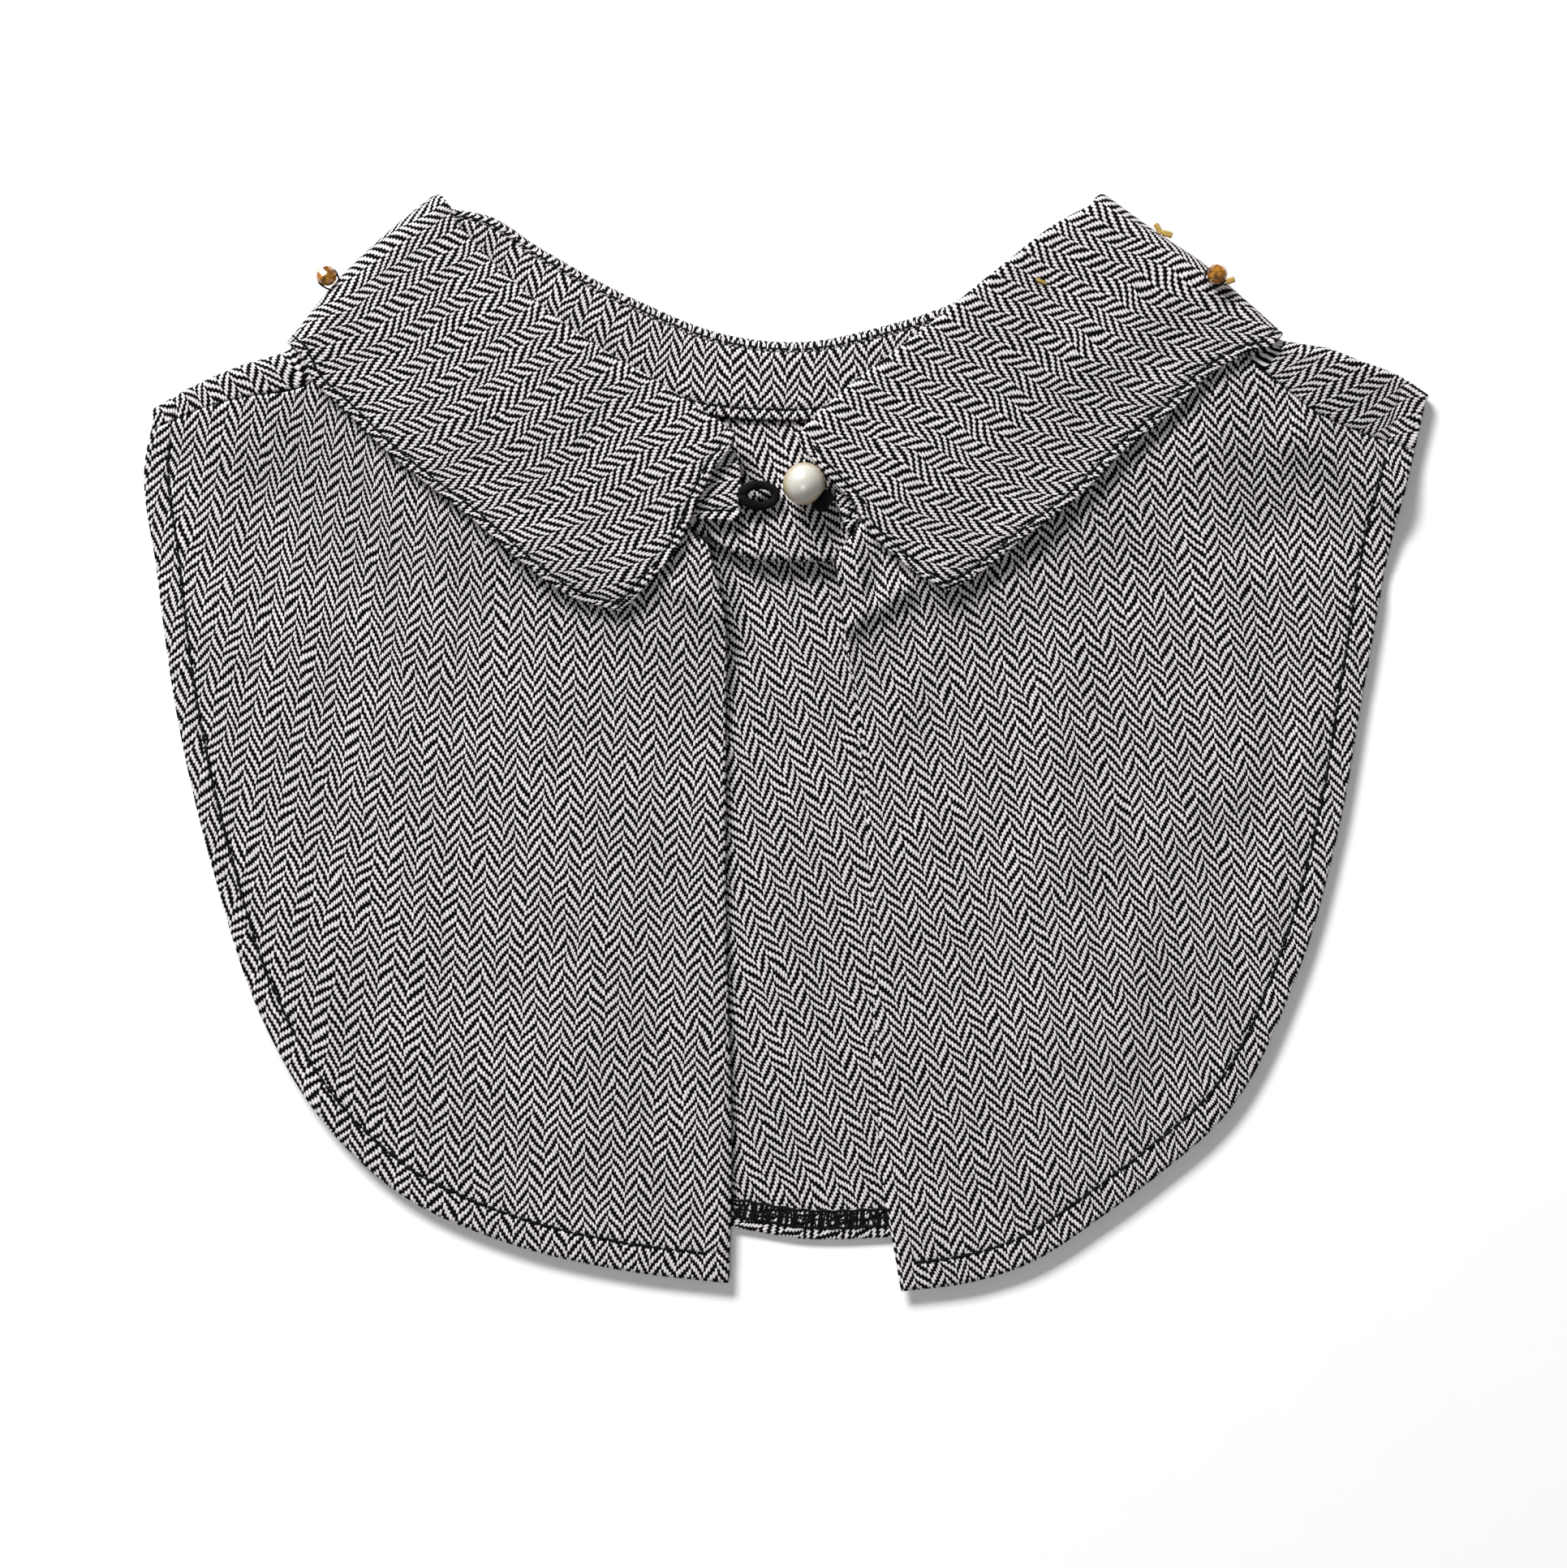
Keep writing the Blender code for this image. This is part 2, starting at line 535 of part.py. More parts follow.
def fold_roll(apex, away, normal, radius, middle_z):
    """The fall's turn at its fold, from its seam with the stand: half a tube on each section.

    apex is the line of the fold, away points from it into the collar, and normal points from the
    stand to the fall.
    """
    turns = np.radians(np.linspace(-90, 90, 5))[None, :, None]
    radius = np.broadcast_to(radius, len(apex))[:, None, None]
    flat = np.concatenate([apex, middle_z[:, None]], axis=-1)[:, None]
    away = np.concatenate([away, np.zeros((len(away), 1))], axis=-1)[:, None]
    normal = normal[:, None]
    roll = flat + away * (HALF + radius * (1 - np.cos(turns))) + normal * radius * np.sin(turns)
    lip = flat + away * (HALF + LIP) - normal * radius
    return np.concatenate([lip, roll], axis=1)


def corner(side):
    """Where the folds of a leaf and of the back meet: the axis, its height, and the ways from it."""
    turn = wrap(side, np.array([0.0, 0.05]))
    return {
        "axis": turn["axis"][0],
        "axis_z": turn["axis_z"][0],
        "radius": turn["radius"][0],
        "outward": -turn["inward"][0],
        "along": unit(turn["axis"][1] - turn["axis"][0]),
    }


def stand_turn(side):
    """The turn of the stand, inside that of the fall, from its upper edge to its seam."""
    at = corner(side)
    reach = STAND_EDGE + (STAND_HEIGHT - STAND_EDGE - SEAM_EASE) * STAND_SHARES
    turn = wrap(side, reach / edge_length(SIDES[side]["wrap"]))
    turn["axis_z"] = np.full(len(reach), at["axis_z"])
    turn["radius"] = np.full(len(reach), at["radius"] - FOLD_WIDTH)
    return turn


def with_height(plan, z):
    """A grid of plan points with one height for each of its rows."""
    return np.concatenate([plan, np.broadcast_to(z[:, None, None], plan.shape[:2] + (1,))], axis=-1)


def leaf_rows(side):
    """Sections of the fall and of the stand along one leaf, from the front end to the turn."""
    made, at = SIDES[side], corner(side)
    t = np.linspace(0, 1, 13)
    feet = wrap(side, FALL_SHARES)["axis"]
    near = meet(smooth(made["fold"], t), t, np.array(made["front"][0], float), at["axis"])
    far = meet(smooth(made["edge"], t), t, np.array(made["front"][-1], float), feet[-1])
    plan = patch(near, far, smooth(made["front"], FALL_SHARES), feet, t, FALL_SHARES)
    rise = LEAF_LOFT * fade(t, 0.55, 1.0)
    z = leaf_height(plan[..., 0], plan[..., 1], rise[:, None] * (1 - FALL_SHARES[None]) ** 2)
    fall = np.concatenate([plan, z[..., None]], axis=-1)

    by_end, by_turn = fade(t, 0, 0.2)[:, None], 1 - fade(t, 0.75, 1.0)[:, None]
    square = turned(direction(made["fold"], t)) * made["sign"]
    down_front = direction(made["front"], [0.03])
    away = unit(square * (1 - by_end - by_turn) + down_front * by_end + at["along"] * by_turn)
    up = np.tile([0.0, 0.0, 1.0], (len(t), 1))
    roll = fold_roll(near, away, up, FOLD_WIDTH / 2, LEAF_TOP - FOLD_WIDTH / 2 + rise)

    foot = stand_turn(side)["axis"]
    upper = near + away * STAND_EDGE
    lower = meet(smooth(made["seam"][::-1], t), t, np.array(made["end"][-1], float), foot[-1])
    lower = lower + unit(upper - lower) * SEAM_EASE * fade(t, 0.9, 1.0)[:, None]
    end = meet(smooth(made["end"], 0.12 + 0.88 * STAND_SHARES), STAND_SHARES, upper[0], lower[0])
    stand = with_height(patch(upper, lower, end, foot, t, STAND_SHARES), STAND_OVER + rise)
    return np.concatenate([roll, fall], axis=1), stand


def turn_rows(side):
    """Sections of the fall and of the stand round one side of the neck, from above to below."""
    at = corner(side)
    fall = round_turn(wrap(side, FALL_SHARES), TURN_ANGLES)
    cos, sin = np.cos(np.radians(TURN_ANGLES)), np.sin(np.radians(TURN_ANGLES))
    middle = at["radius"] - FOLD_WIDTH / 2
    apex = at["axis"] + at["outward"] * (middle * cos)[:, None]
    normal = np.concatenate([at["outward"] * cos[:, None], sin[:, None]], axis=-1)
    away = np.tile(at["along"], (len(TURN_ANGLES), 1))
    roll = fold_roll(apex, away, normal, FOLD_WIDTH / 2, at["axis_z"] + middle * sin)
    return np.concatenate([roll, fall], axis=1), round_turn(stand_turn(side), TURN_ANGLES)


def back_rows():
    """Sections of the fall and of the stand along the back, from the left turn to the right one."""
    t = BACK_SHARES
    left, right = corner("left"), corner("right")
    feet_left, feet_right = wrap("left", FALL_SHARES)["axis"], wrap("right", FALL_SHARES)["axis"]
    apex = meet(smooth(FOLD_BACK, t), t, left["axis"], right["axis"])
    edge = meet(smooth(EDGE_BACK, t), t, feet_left[-1], feet_right[-1])
    plan = patch(apex, edge, feet_left, feet_right, t, FALL_SHARES)
    fall = with_height(plan, np.full(len(t), FALL_UNDER))

    by_left, by_right = fade(t, 0, 0.15)[:, None], fade(1 - t, 0, 0.15)[:, None]
    square = -turned(direction(FOLD_BACK, t))
    away = unit(square * (1 - by_left - by_right) + left["along"] * by_left + right["along"] * by_right)
    middle = fade(np.abs(t - 0.5), 0.12, 0.4)
    lifted = STAND_UNDER_SIDE + (STAND_UNDER_MIDDLE - STAND_UNDER_SIDE) * middle
    down = np.tile([0.0, 0.0, -1.0], (len(t), 1))
    roll = fold_roll(apex, away, down, (lifted - FALL_UNDER) / 2, (lifted + FALL_UNDER) / 2)

    upper = apex + away * STAND_EDGE
    lower = back_seam()
    lower = lower + unit(upper - lower) * SEAM_EASE
    foot_left, foot_right = stand_turn("left")["axis"], stand_turn("right")["axis"]
    stand = with_height(patch(upper, lower, foot_left, foot_right, t, STAND_SHARES), lifted)
    return np.concatenate([roll, fall], axis=1), stand


def collar(finish, group):
    """The collar's two pieces, each one strip round the neck: the fall and the stand."""
    around = [leaf_rows("left"), turn_rows("left"), back_rows()]
    around += [[rows[::-1] for rows in made] for made in (turn_rows("right"), leaf_rows("right"))]
    falls, stands = zip(*around)
    cloth("collar_fall", np.concatenate(falls), finish, group, True)
    cloth("collar_stand", np.concatenate(stands), finish, group, False)


def ball(name, centre, diameter, turns, finish, group):
    """A round bead or button."""
    mesh = bpy.data.meshes.new(name)
    form = bmesh.new()
    bmesh.ops.create_uvsphere(form, u_segments=turns, v_segments=turns // 2, radius=diameter / 2 * MM)
    form.to_mesh(mesh)
    form.free()
    mesh.shade_smooth()
    obj = place(name, mesh, finish, group)
    obj.location = in_metres(centre)
    return obj


def top_of_back(x, y):
    """Upper face of the back panel above its tuck."""
    x, y = np.array([float(x)]), np.array([float(y)])
    middle = back_height(x, y)
    return float((middle + (TUCK_TOP - middle) * puff(x, y) + HALF)[0])


def button(pearl, thread, group):
    """The pearl button beside the right end of the stand, and the thread shank between them."""
    radius = PEARL_DIAMETER / 2
    z = top_of_back(*PEARL_AT) + radius + 2 * GAP
    ball("pearl_button", (*PEARL_AT, z), PEARL_DIAMETER, 24, pearl, group)
    start = np.array([*PEARL_AT, z])
    end = np.array([*(np.array(PEARL_AT) + SHANK_END * np.array(SHANK_WAY)), STAND_OVER + LEAF_LOFT])
    way = unit(end - start)
    first = start + way * (radius + GAP)
    length = np.linalg.norm(end - first)
    mesh = bpy.data.meshes.new("button_shank")
    form = bmesh.new()
    wide, narrow = (diameter / 2 * MM for diameter in SHANK_DIAMETERS)
    bmesh.ops.create_cone(
        form, cap_ends=True, segments=16, radius1=wide, radius2=narrow, depth=length * MM
    )
    form.to_mesh(mesh)
    form.free()
    mesh.shade_smooth()
    obj = place("button_shank", mesh, thread, group)
    turn = Vector((0, 0, 1)).rotation_difference(Vector(way.tolist())).to_matrix().to_4x4()
    obj.matrix_world = Matrix.Translation(Vector(in_metres((first + end) / 2).tolist())) @ turn


def button_loop(finish, group):
    """The elastic loop: an open ring of cord that comes out of the left end of the stand."""
    turns = np.radians(np.linspace(-135, 135, 16))
    x = LOOP_AT[0] + LOOP_RADII[0] * np.cos(turns)
    y = LOOP_AT[1] + LOOP_RADII[1] * np.sin(turns)
    low = top_of_back(*LOOP_AT) + LOOP_CORD / 2 + 3 * GAP
    z = low + (STAND_OVER + LEAF_LOFT - low) * (1 - fade(-x, 5.5, 10.5))
    ring = np.stack([x, y, z], axis=-1)
    out_of_stand = [ring[k] - (1.25, 0, 0) for k in (0, -1)]
    route = in_metres(np.vstack([out_of_stand[0], ring, out_of_stand[1]]))
    curve = bpy.data.curves.new("button_loop", "CURVE")
    curve.dimensions = "3D"
    curve.bevel_depth = LOOP_CORD / 2 * MM
    curve.bevel_resolution = 2
    curve.use_fill_caps = True
    line = curve.splines.new("POLY")
    line.points.add(len(route) - 1)
    line.points.foreach_set("co", np.hstack([route, np.ones((len(route), 1))]).ravel())
    obj = bpy.data.objects.new("button_loop", curve)
    curve.materials.append(finish)
    group.objects.link(obj)


def amber_bead(name, side, share, angle, finish, group):
    """A bead sewn on the turn of the collar, at a share of its edge and an angle above its axis."""
    turn = wrap(side, np.array([share]))
    reach = turn["radius"][0] + HALF + GAP + AMBER_DIAMETER / 2
    plan = turn["axis"][0] - turn["inward"][0] * reach * np.cos(np.radians(angle))
    z = turn["axis_z"][0] + reach * np.sin(np.radians(angle))
    ball(name, (*plan, z), AMBER_DIAMETER, 16, finish, group)


def main():
    for old in list(bpy.data.objects):
        bpy.data.objects.remove(old, do_unlink=True)
    group = collection("embellished_collar")
    herringbone = material("herringbone", (0.24, 0.23, 0.23), 0.9)
    pearl = material("pearl", (0.83, 0.78, 0.68), 0.25)
    elastic = material("black_elastic", (0.02, 0.02, 0.02), 0.8)
    thread = material("black_thread", (0.02, 0.02, 0.02), 0.7)
    amber = material("amber_glass", (0.65, 0.33, 0.08), 0.15)
    left = (NECK_LEFT, OUTLINE_LEFT, SHOULDER_SEAM_LEFT, OPENING_LEFT)
    right = (NECK_RIGHT, OUTLINE_RIGHT, SHOULDER_SEAM_RIGHT, OPENING_RIGHT)
    front_panel("front_left", *left, herringbone, group, False)
    front_panel("front_right", *right, herringbone, group, True)
    back_panel(herringbone, group)
    collar(herringbone, group)
    button(pearl, thread, group)
    button_loop(elastic, group)
    amber_bead("amber_bead_left", "left", 0.65, 25, amber, group)
    amber_bead("amber_bead_right", "right", 0.62, 60, amber, group)


main()
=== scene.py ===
"""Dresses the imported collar: woven cloth, sewing, pearl button, elastic loop and beads.

The file is laid out as an add-on and run as a script. Its sizes and colours are properties, and an
operator makes each piece or group of pieces. The tables of outlines and the functions that lay the
layers out are those of the part's source, at finer steps. Tables are in millimetres.
"""

from functools import lru_cache

import bpy
import numpy as np
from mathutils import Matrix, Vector


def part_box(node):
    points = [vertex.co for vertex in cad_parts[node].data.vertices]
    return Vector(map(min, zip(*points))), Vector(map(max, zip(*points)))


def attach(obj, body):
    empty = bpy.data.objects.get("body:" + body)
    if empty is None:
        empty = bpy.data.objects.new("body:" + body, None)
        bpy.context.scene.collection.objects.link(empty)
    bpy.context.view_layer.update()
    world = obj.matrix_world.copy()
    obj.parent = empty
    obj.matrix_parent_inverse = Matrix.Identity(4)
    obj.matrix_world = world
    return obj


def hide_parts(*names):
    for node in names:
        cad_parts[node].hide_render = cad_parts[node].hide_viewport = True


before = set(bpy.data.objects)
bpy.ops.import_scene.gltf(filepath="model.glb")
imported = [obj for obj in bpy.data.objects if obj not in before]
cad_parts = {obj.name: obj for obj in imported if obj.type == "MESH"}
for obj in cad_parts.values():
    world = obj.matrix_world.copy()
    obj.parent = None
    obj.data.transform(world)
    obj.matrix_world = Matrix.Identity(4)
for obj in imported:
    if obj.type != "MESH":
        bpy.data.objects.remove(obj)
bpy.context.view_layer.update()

bl_info = {
    "name": "Embellished collar",
    "version": (1, 0, 0),
    "blender": (4, 5, 0),
    "location": "3D View > Sidebar > Collar",
    "description": "Makes the cloth, sewing and trimmings of a detachable collar that lies flat",
    "category": "Object",
}

MM = 0.001
ORIGIN = np.array([-0.05, -0.45, 0.0])  # of the model, in the plan of the tables below

# Cloth
CLOTH = 1.0  # wall of one layer
HALF = CLOTH / 2
GAP = 0.3  # left between two pieces at a seam
PLY = 1.9  # from the middle of one layer to the middle of the next
SEAM_EASE = 0.32  # each piece keeps this far from its seam line

# Levels of the layers' middles where the collar lies, from the surface up
COLLAR_LOFT = 3.2  # how much the collar holds the fronts up over the back
WRAP_LOFT = 2.1
SHOULDER_LOFT = 0.8
LEAF_LOFT = 0.8  # how much the fold of a leaf springs up
FOLD_WIDTH = 2.4  # from the stand's middle to the fall's, across the fold
FALL_UNDER = HALF
BACK_OVER_FALL = HALF + PLY
FRONT_TOP = BACK_OVER_FALL + PLY + COLLAR_LOFT
LEAF_TOP = FRONT_TOP + PLY
STAND_OVER = LEAF_TOP - FOLD_WIDTH
STAND_UNDER_SIDE = FALL_UNDER + FOLD_WIDTH
STAND_UNDER_MIDDLE = STAND_UNDER_SIDE + 0.8

# Where each of these levels holds, and where it has faded out: distances beyond a line or outline
FALL_FADES = (12, 42)
BACK_FADES = (5, 18)
SHOULDER_FADES = (3, 30)
FOLD_FADES = (22, 78)
WRAP_FADES = (2, 42)
WRAP_LEVEL_AT = 4.0  # from a turn's edge, where its upper layer's level is taken
TURN_LEVEL_AT = 3.0
COVER_END = 8.0  # over which the shoulder comes out of the fall's turn

# Collar
STAND_HEIGHT = 20.0
LIP = 2.2  # how far the fall reaches round the fold, to its seam with the stand
STAND_EDGE = HALF + LIP + GAP  # from the fold to the stand's upper edge

# Tuck of the back panel
TUCK_TOP = 4.9
TUCK_BEND = (TUCK_TOP - HALF) / 4  # radius of its two turns
TUCK_DEPTH = 4.6  # from the lip to the root
TUCK_SLOPE = 35  # degrees, of the slope that it runs out into at its ends
TUCK_MIDDLE_X = -1.0
TUCK_DEPTH_FADES = (12, 40)  # from the middle, where the tuck stops overhanging
TUCK_HEIGHT_FADES = (38, 58)  # and where it has sunk to nothing
TUCK_TURNS = 8  # straight pieces in each turn of the tuck
TUCK_CLEARS = 0.1  # left between the puffed cloth and a front over it, past one layer
TUCK_BLEND = 0.3  # softness of the change from a front's own level to one held up by the tuck
PUFF_ABOVE = (50, 79)  # Y from the lip's full height to nothing at the neck seam
PUFF_BELOW = (26, 41)  # Y from nothing to full height, below the lip
FLAT_BELOW = (46, 52)  # Y up to which the back lies on the surface below the tuck
TROUGH = {"x": -6, "y": 70, "across": 5, "along": 9, "share": 0.3}  # a soft dent above the tuck

# Button and loop
PEARL_AT = (4.2, 63.1)
PEARL_CAP = 0.80  # share of its radius from which the pearl is flatter, towards its shank
SHANK_WAY = (0.75, -0.66)
SHANK_DIAMETERS = (6.4, 5.6)
SHANK_END = 7.5  # from the pearl's middle
SHANK_IN = 0.5  # how far the shank starts inside the pearl
LOOP_CORD = 2.4
LOOP_AT = (-6.8, 60.5)
LOOP_RADII = (4.1, 2.6)
LOOP_HALF_TURN = 162  # degrees that the loop goes round each way, from the side of the button
BRAID_WAVES = 34  # of the elastic's cover, along the loop

# Outlines, each a table of x and y along an edge
FOLD_LEFT = [(-13, 76.3), (-28, 86), (-54, 102.3), (-77, 123), (-82, 129), (-83.4, 132.6)]
EDGE_LEFT = [
    (-41.5, 32.3), (-53.4, 35.9), (-64.2, 43.5), (-77, 54.5), (-98, 70.9), (-109.6, 81.9),
    (-117.2, 89), (-120.6, 95.6),
]
FRONT_LEFT = [
    (-13, 76.3), (-14.2, 72), (-17.6, 67.5), (-22.8, 57.3), (-28, 46.1), (-33.6, 39.7), (-38.6, 34.4),
    (-41.5, 32.3),
]
WRAP_LEFT = [(-86, 135.7), (-98, 126), (-110, 114.6), (-123.2, 98.5)]
FOLD_RIGHT = [(2.2, 75.5), (12.4, 85.1), (33.8, 101.7), (52.6, 117.3), (67.6, 129.1), (74.4, 132.8)]
EDGE_RIGHT = [
    (39.5, 37.3), (44.4, 39.7), (57.8, 49.9), (72, 60.7), (83.4, 72.3), (93.6, 80.5), (105.8, 92),
    (115.2, 96.6), (119.6, 97.8),
]
FRONT_RIGHT = [
    (2.2, 75.5), (5.3, 70.7), (12.4, 62.7), (17.4, 57.3), (19.4, 52.9), (26.8, 45.5), (32.4, 41.1),
    (39.5, 37.3),
]
WRAP_RIGHT = [(77.2, 135.7), (91, 125.6), (102.4, 118), (113.4, 108.5), (122.2, 100.7)]
FOLD_BACK = [
    (-83.4, 132.6), (-74, 130.7), (-62, 123.1), (-38, 109.9), (-14, 100.7), (4, 99.2), (22, 102.7),
    (44.6, 110.8), (62, 122.5), (74.4, 132.8),
]
EDGE_BACK = [
    (-120.6, 95.6), (-98, 80), (-74, 68.5), (-48, 61), (-20, 58), (-1, 57.4), (20, 58), (50, 66),
    (82, 80), (119.6, 97.8),
]
SEAM_LEFT = [
    (-97.6, 118.8), (-89, 110.8), (-74, 94.7), (-54, 77.7), (-34, 62.3), (-30, 59), (-22, 54.8),
    (-12, 54),
]
SEAM_RIGHT = [
    (90.6, 120.6), (80, 112.2), (64.8, 101), (46, 86), (28, 69), (25, 64.8), (20, 57.4), (15, 51.5),
]
SEAM_BACK = [
    (-97.6, 118.8), (-81.8, 112), (-64, 100.3), (-42, 87.7), (-20, 80.8), (-4, 79.5), (6.4, 79.7),
    (17, 81.5), (33.2, 87.1), (52.4, 98.7), (74, 112), (90.6, 120.6),
]
STAND_END_LEFT = [(-13, 76.3), (-11.4, 66.7), (-12, 54)]
STAND_END_RIGHT = [(2.2, 75.5), (9.3, 67.5), (12, 62.4), (12.5, 58.5), (15, 51.5)]
NECK_LEFT = [(-89, 110.8), (-74, 94.7), (-54, 77.7), (-34, 62.3), (-30, 59), (-25, 53.6), (-19.6, 48.3)]
NECK_RIGHT = [(80, 112.2), (64.8, 101), (46, 86), (28, 69), (25, 64.8), (19.4, 55.6), (12, 45.5)]
SHOULDER_SEAM_LEFT = [(-89, 110.8), (-106, 96.7), (-120, 86.9), (-134, 84.7), (-143, 82.6), (-157, 77)]
SHOULDER_SEAM_RIGHT = [
    (80, 112.2), (100, 103), (112.2, 95.3), (122, 87.3), (131.2, 80.5), (140.8, 76.5), (154.8, 71.9),
]
SHOULDER_LEFT = [(-101.3, 122.8), (-110, 114.6), (-123, 98.8), (-134, 93.2), (-146, 88.3), (-157.2, 82.1)]
SHOULDER_RIGHT = [
    (93.4, 124), (102.4, 118), (113.4, 108.5), (122.4, 100.8), (130, 98.4), (140.8, 94.3),
    (152.4, 89.9), (158.6, 85.8),
]
OUTLINE_LEFT = [
    (-157, 77), (-158.4, 70), (-155.6, 42), (-150, 3), (-141.4, -33), (-129.2, -69.3), (-115, -93.3),
    (-95, -112), (-70, -123.4), (-40, -130.6), (-14.6, -133.7),
]
OUTLINE_RIGHT = [
    (154.8, 71.9), (149.4, 50.7), (142.6, 14.7), (136.2, -21.3), (126, -57.3), (107.2, -93.3),
    (92, -106.6), (77.6, -117.3), (58.6, -129.3), (46, -133.3), (28.4, -135.7),
]
OPENING_LEFT = [(-19.6, 48.3), (-16, 33.7), (-15.4, 2.7), (-15.4, -37.3), (-14, -105.3), (-14.6, -133.7)]
OPENING_RIGHT = [(12, 45.5), (14.6, 25.7), (18, 2.7), (21, -37.3), (24.6, -113.3), (28.4, -135.7)]
HEM_BACK = [
    (-156.6, 80), (-155.6, 70), (-147.2, 3), (-138.4, -33), (-126, -68), (-111, -91), (-92, -107),
    (-68, -116), (-40, -120), (-14, -120.6), (4, -123.3), (25, -122.9), (56, -119.5), (86, -106),
    (106, -88), (123, -56), (133.4, -21), (139.6, 14.5), (146.4, 50), (152.4, 70.6), (156.4, 80),
]

# Soft folds of the fronts: from x0, y0 to x1, y1, with the height and the half width of each
FOLDS = [
    {"x0": -60, "y0": 20, "x1": -44, "y1": -70, "height": 0.8, "width": 16.0},
    {"x0": -132, "y0": 70, "x1": -118, "y1": 20, "height": 0.9, "width": 12.0},
    {"x0": 126, "y0": 74, "x1": 150, "y1": 62, "height": 2.6, "width": 7.5},
    {"x0": 104, "y0": 70, "x1": 112, "y1": -10, "height": 1.4, "width": 11.0},
    {"x0": 62, "y0": 30, "x1": 78, "y1": -70, "height": 1.0, "width": 15.0},
]

# Lip of the tuck, where the cloth turns under
TUCK_LIP = [(-20, 50.5), (-15, 47.4), (-10, 44.9), (-2, 44.3), (8, 44.3), (19, 44.9)]


def smooth(points, t):
    """Points at the shares t of the length of a smooth line through a table's points."""
    points = np.asarray(points, float)
    t = np.atleast_1d(np.asarray(t, float))
    steps = np.linalg.norm(np.diff(points, axis=0), axis=1)
    knots = np.concatenate([[0.0], np.cumsum(steps)])
    slopes = np.diff(points, axis=0) / steps[:, None]
    weight = steps[1:] / (steps[1:] + steps[:-1])
    inner = slopes[:-1] * weight[:, None] + slopes[1:] * (1 - weight)[:, None]
    tangents = np.vstack([slopes[:1], inner, slopes[-1:]])
    at = np.clip(t, 0, 1) * knots[-1]
    i = np.clip(np.searchsorted(knots, at, side="right") - 1, 0, len(steps) - 1)
    h = steps[i][:, None]
    f = ((at - knots[i]) / steps[i])[:, None]
    return (
        (2 * f**3 - 3 * f**2 + 1) * points[i]
        + (f**3 - 2 * f**2 + f) * h * tangents[i]
        + (3 * f**2 - 2 * f**3) * points[i + 1]
        + (f**3 - f**2) * h * tangents[i + 1]
    )


def unit(vectors):
    """Vectors brought to length one."""
    return vectors / np.linalg.norm(vectors, axis=-1, keepdims=True)


def turned(vectors):
    """Plan vectors turned a quarter turn to the left."""
    return np.stack([-vectors[..., 1], vectors[..., 0]], axis=-1)


def direction(points, t):
    """Unit directions along a smooth line at the shares t of its length."""
    step = 0.002
    return unit(smooth(points, np.asarray(t) + step) - smooth(points, np.asarray(t) - step))


def patch(near, far, start, end, t, s):
    """A plan that fills four edges: near and far run with t, start and end run with s."""
    t, s = np.asarray(t, float), np.asarray(s, float)
    a, b = near[:, None], far[:, None]
    c, d = start[None], end[None]
    u, v = t[:, None, None], s[None, :, None]
    ruled = (1 - v) * a + v * b + (1 - u) * c + u * d
    corners = (1 - u) * ((1 - v) * near[0] + v * far[0]) + u * ((1 - v) * near[-1] + v * far[-1])
    return ruled - corners


def fade(distance, near, far):
    """One up to the near distance, nothing from the far one on, and a soft change between."""
    f = np.clip((np.asarray(distance, float) - near) / (far - near), 0, 1)
    return 1 - f * f * (3 - 2 * f)


def off_line(line, x, y):
    """Plan distance of points from a line of straight pieces."""
    line = np.asarray(line, float)
    p = np.stack([x, y], axis=-1)[..., None, :]
    a, d = line[:-1], np.diff(line, axis=0)
    share = np.clip(((p - a) * d).sum(-1) / (d * d).sum(-1), 0, 1)
    return np.linalg.norm(p - a - share[..., None] * d, axis=-1).min(axis=-1)


def outside(outline, x, y):
    """Plan distance of points from a closed outline, negative inside it."""
    ring = np.vstack([outline, outline[:1]])
    x0, y0, x1, y1 = ring[:-1, 0], ring[:-1, 1], ring[1:, 0], ring[1:, 1]
    px, py = x[..., None], y[..., None]
    rise = np.where(y1 == y0, 1.0, y1 - y0)
    crosses = ((y0 > py) != (y1 > py)) & (px < x0 + (py - y0) * (x1 - x0) / rise)
    inside = crosses.sum(axis=-1) % 2 == 1
    return np.where(inside, -1, 1) * off_line(ring, x, y)


def line_of(points, count=40):
    """A smooth line through a table's points, as short straight pieces."""
    return smooth(points, np.linspace(0, 1, count))


FALL_OUTLINE = np.vstack([line_of(FOLD_BACK), line_of(EDGE_BACK)[::-1]])
NECK_CORNERS = [WRAP_RIGHT[0], WRAP_LEFT[0]]
BACK_OUTLINE = np.vstack(
    [line_of(HEM_BACK, 80), line_of(SHOULDER_RIGHT)[::-1], NECK_CORNERS, line_of(SHOULDER_LEFT)]
)


def ridge(rows, x, y):
    """Height that a table of soft folds adds, each a rounded ridge that dies out at its ends."""
    added = np.zeros_like(x)
    for row in rows:
        ends = [(row["x0"], row["y0"]), (row["x1"], row["y1"])]
        added = added + row["height"] * np.exp(-((off_line(ends, x, y) / row["width"]) ** 2))
    return added


def off_middle(x):
    """How far a place is to the left or right of the middle of the tuck."""
    return np.abs(x - TUCK_MIDDLE_X)


def back_height(x, y):
    """Middle of the back panel: on the surface, and up over the fall that lies under it."""
    hollow = fade(off_middle(x), *TUCK_HEIGHT_FADES) * fade(y, *FLAT_BELOW)
    return HALF + PLY * fade(outside(FALL_OUTLINE, x, y), *FALL_FADES) * (1 - hollow)


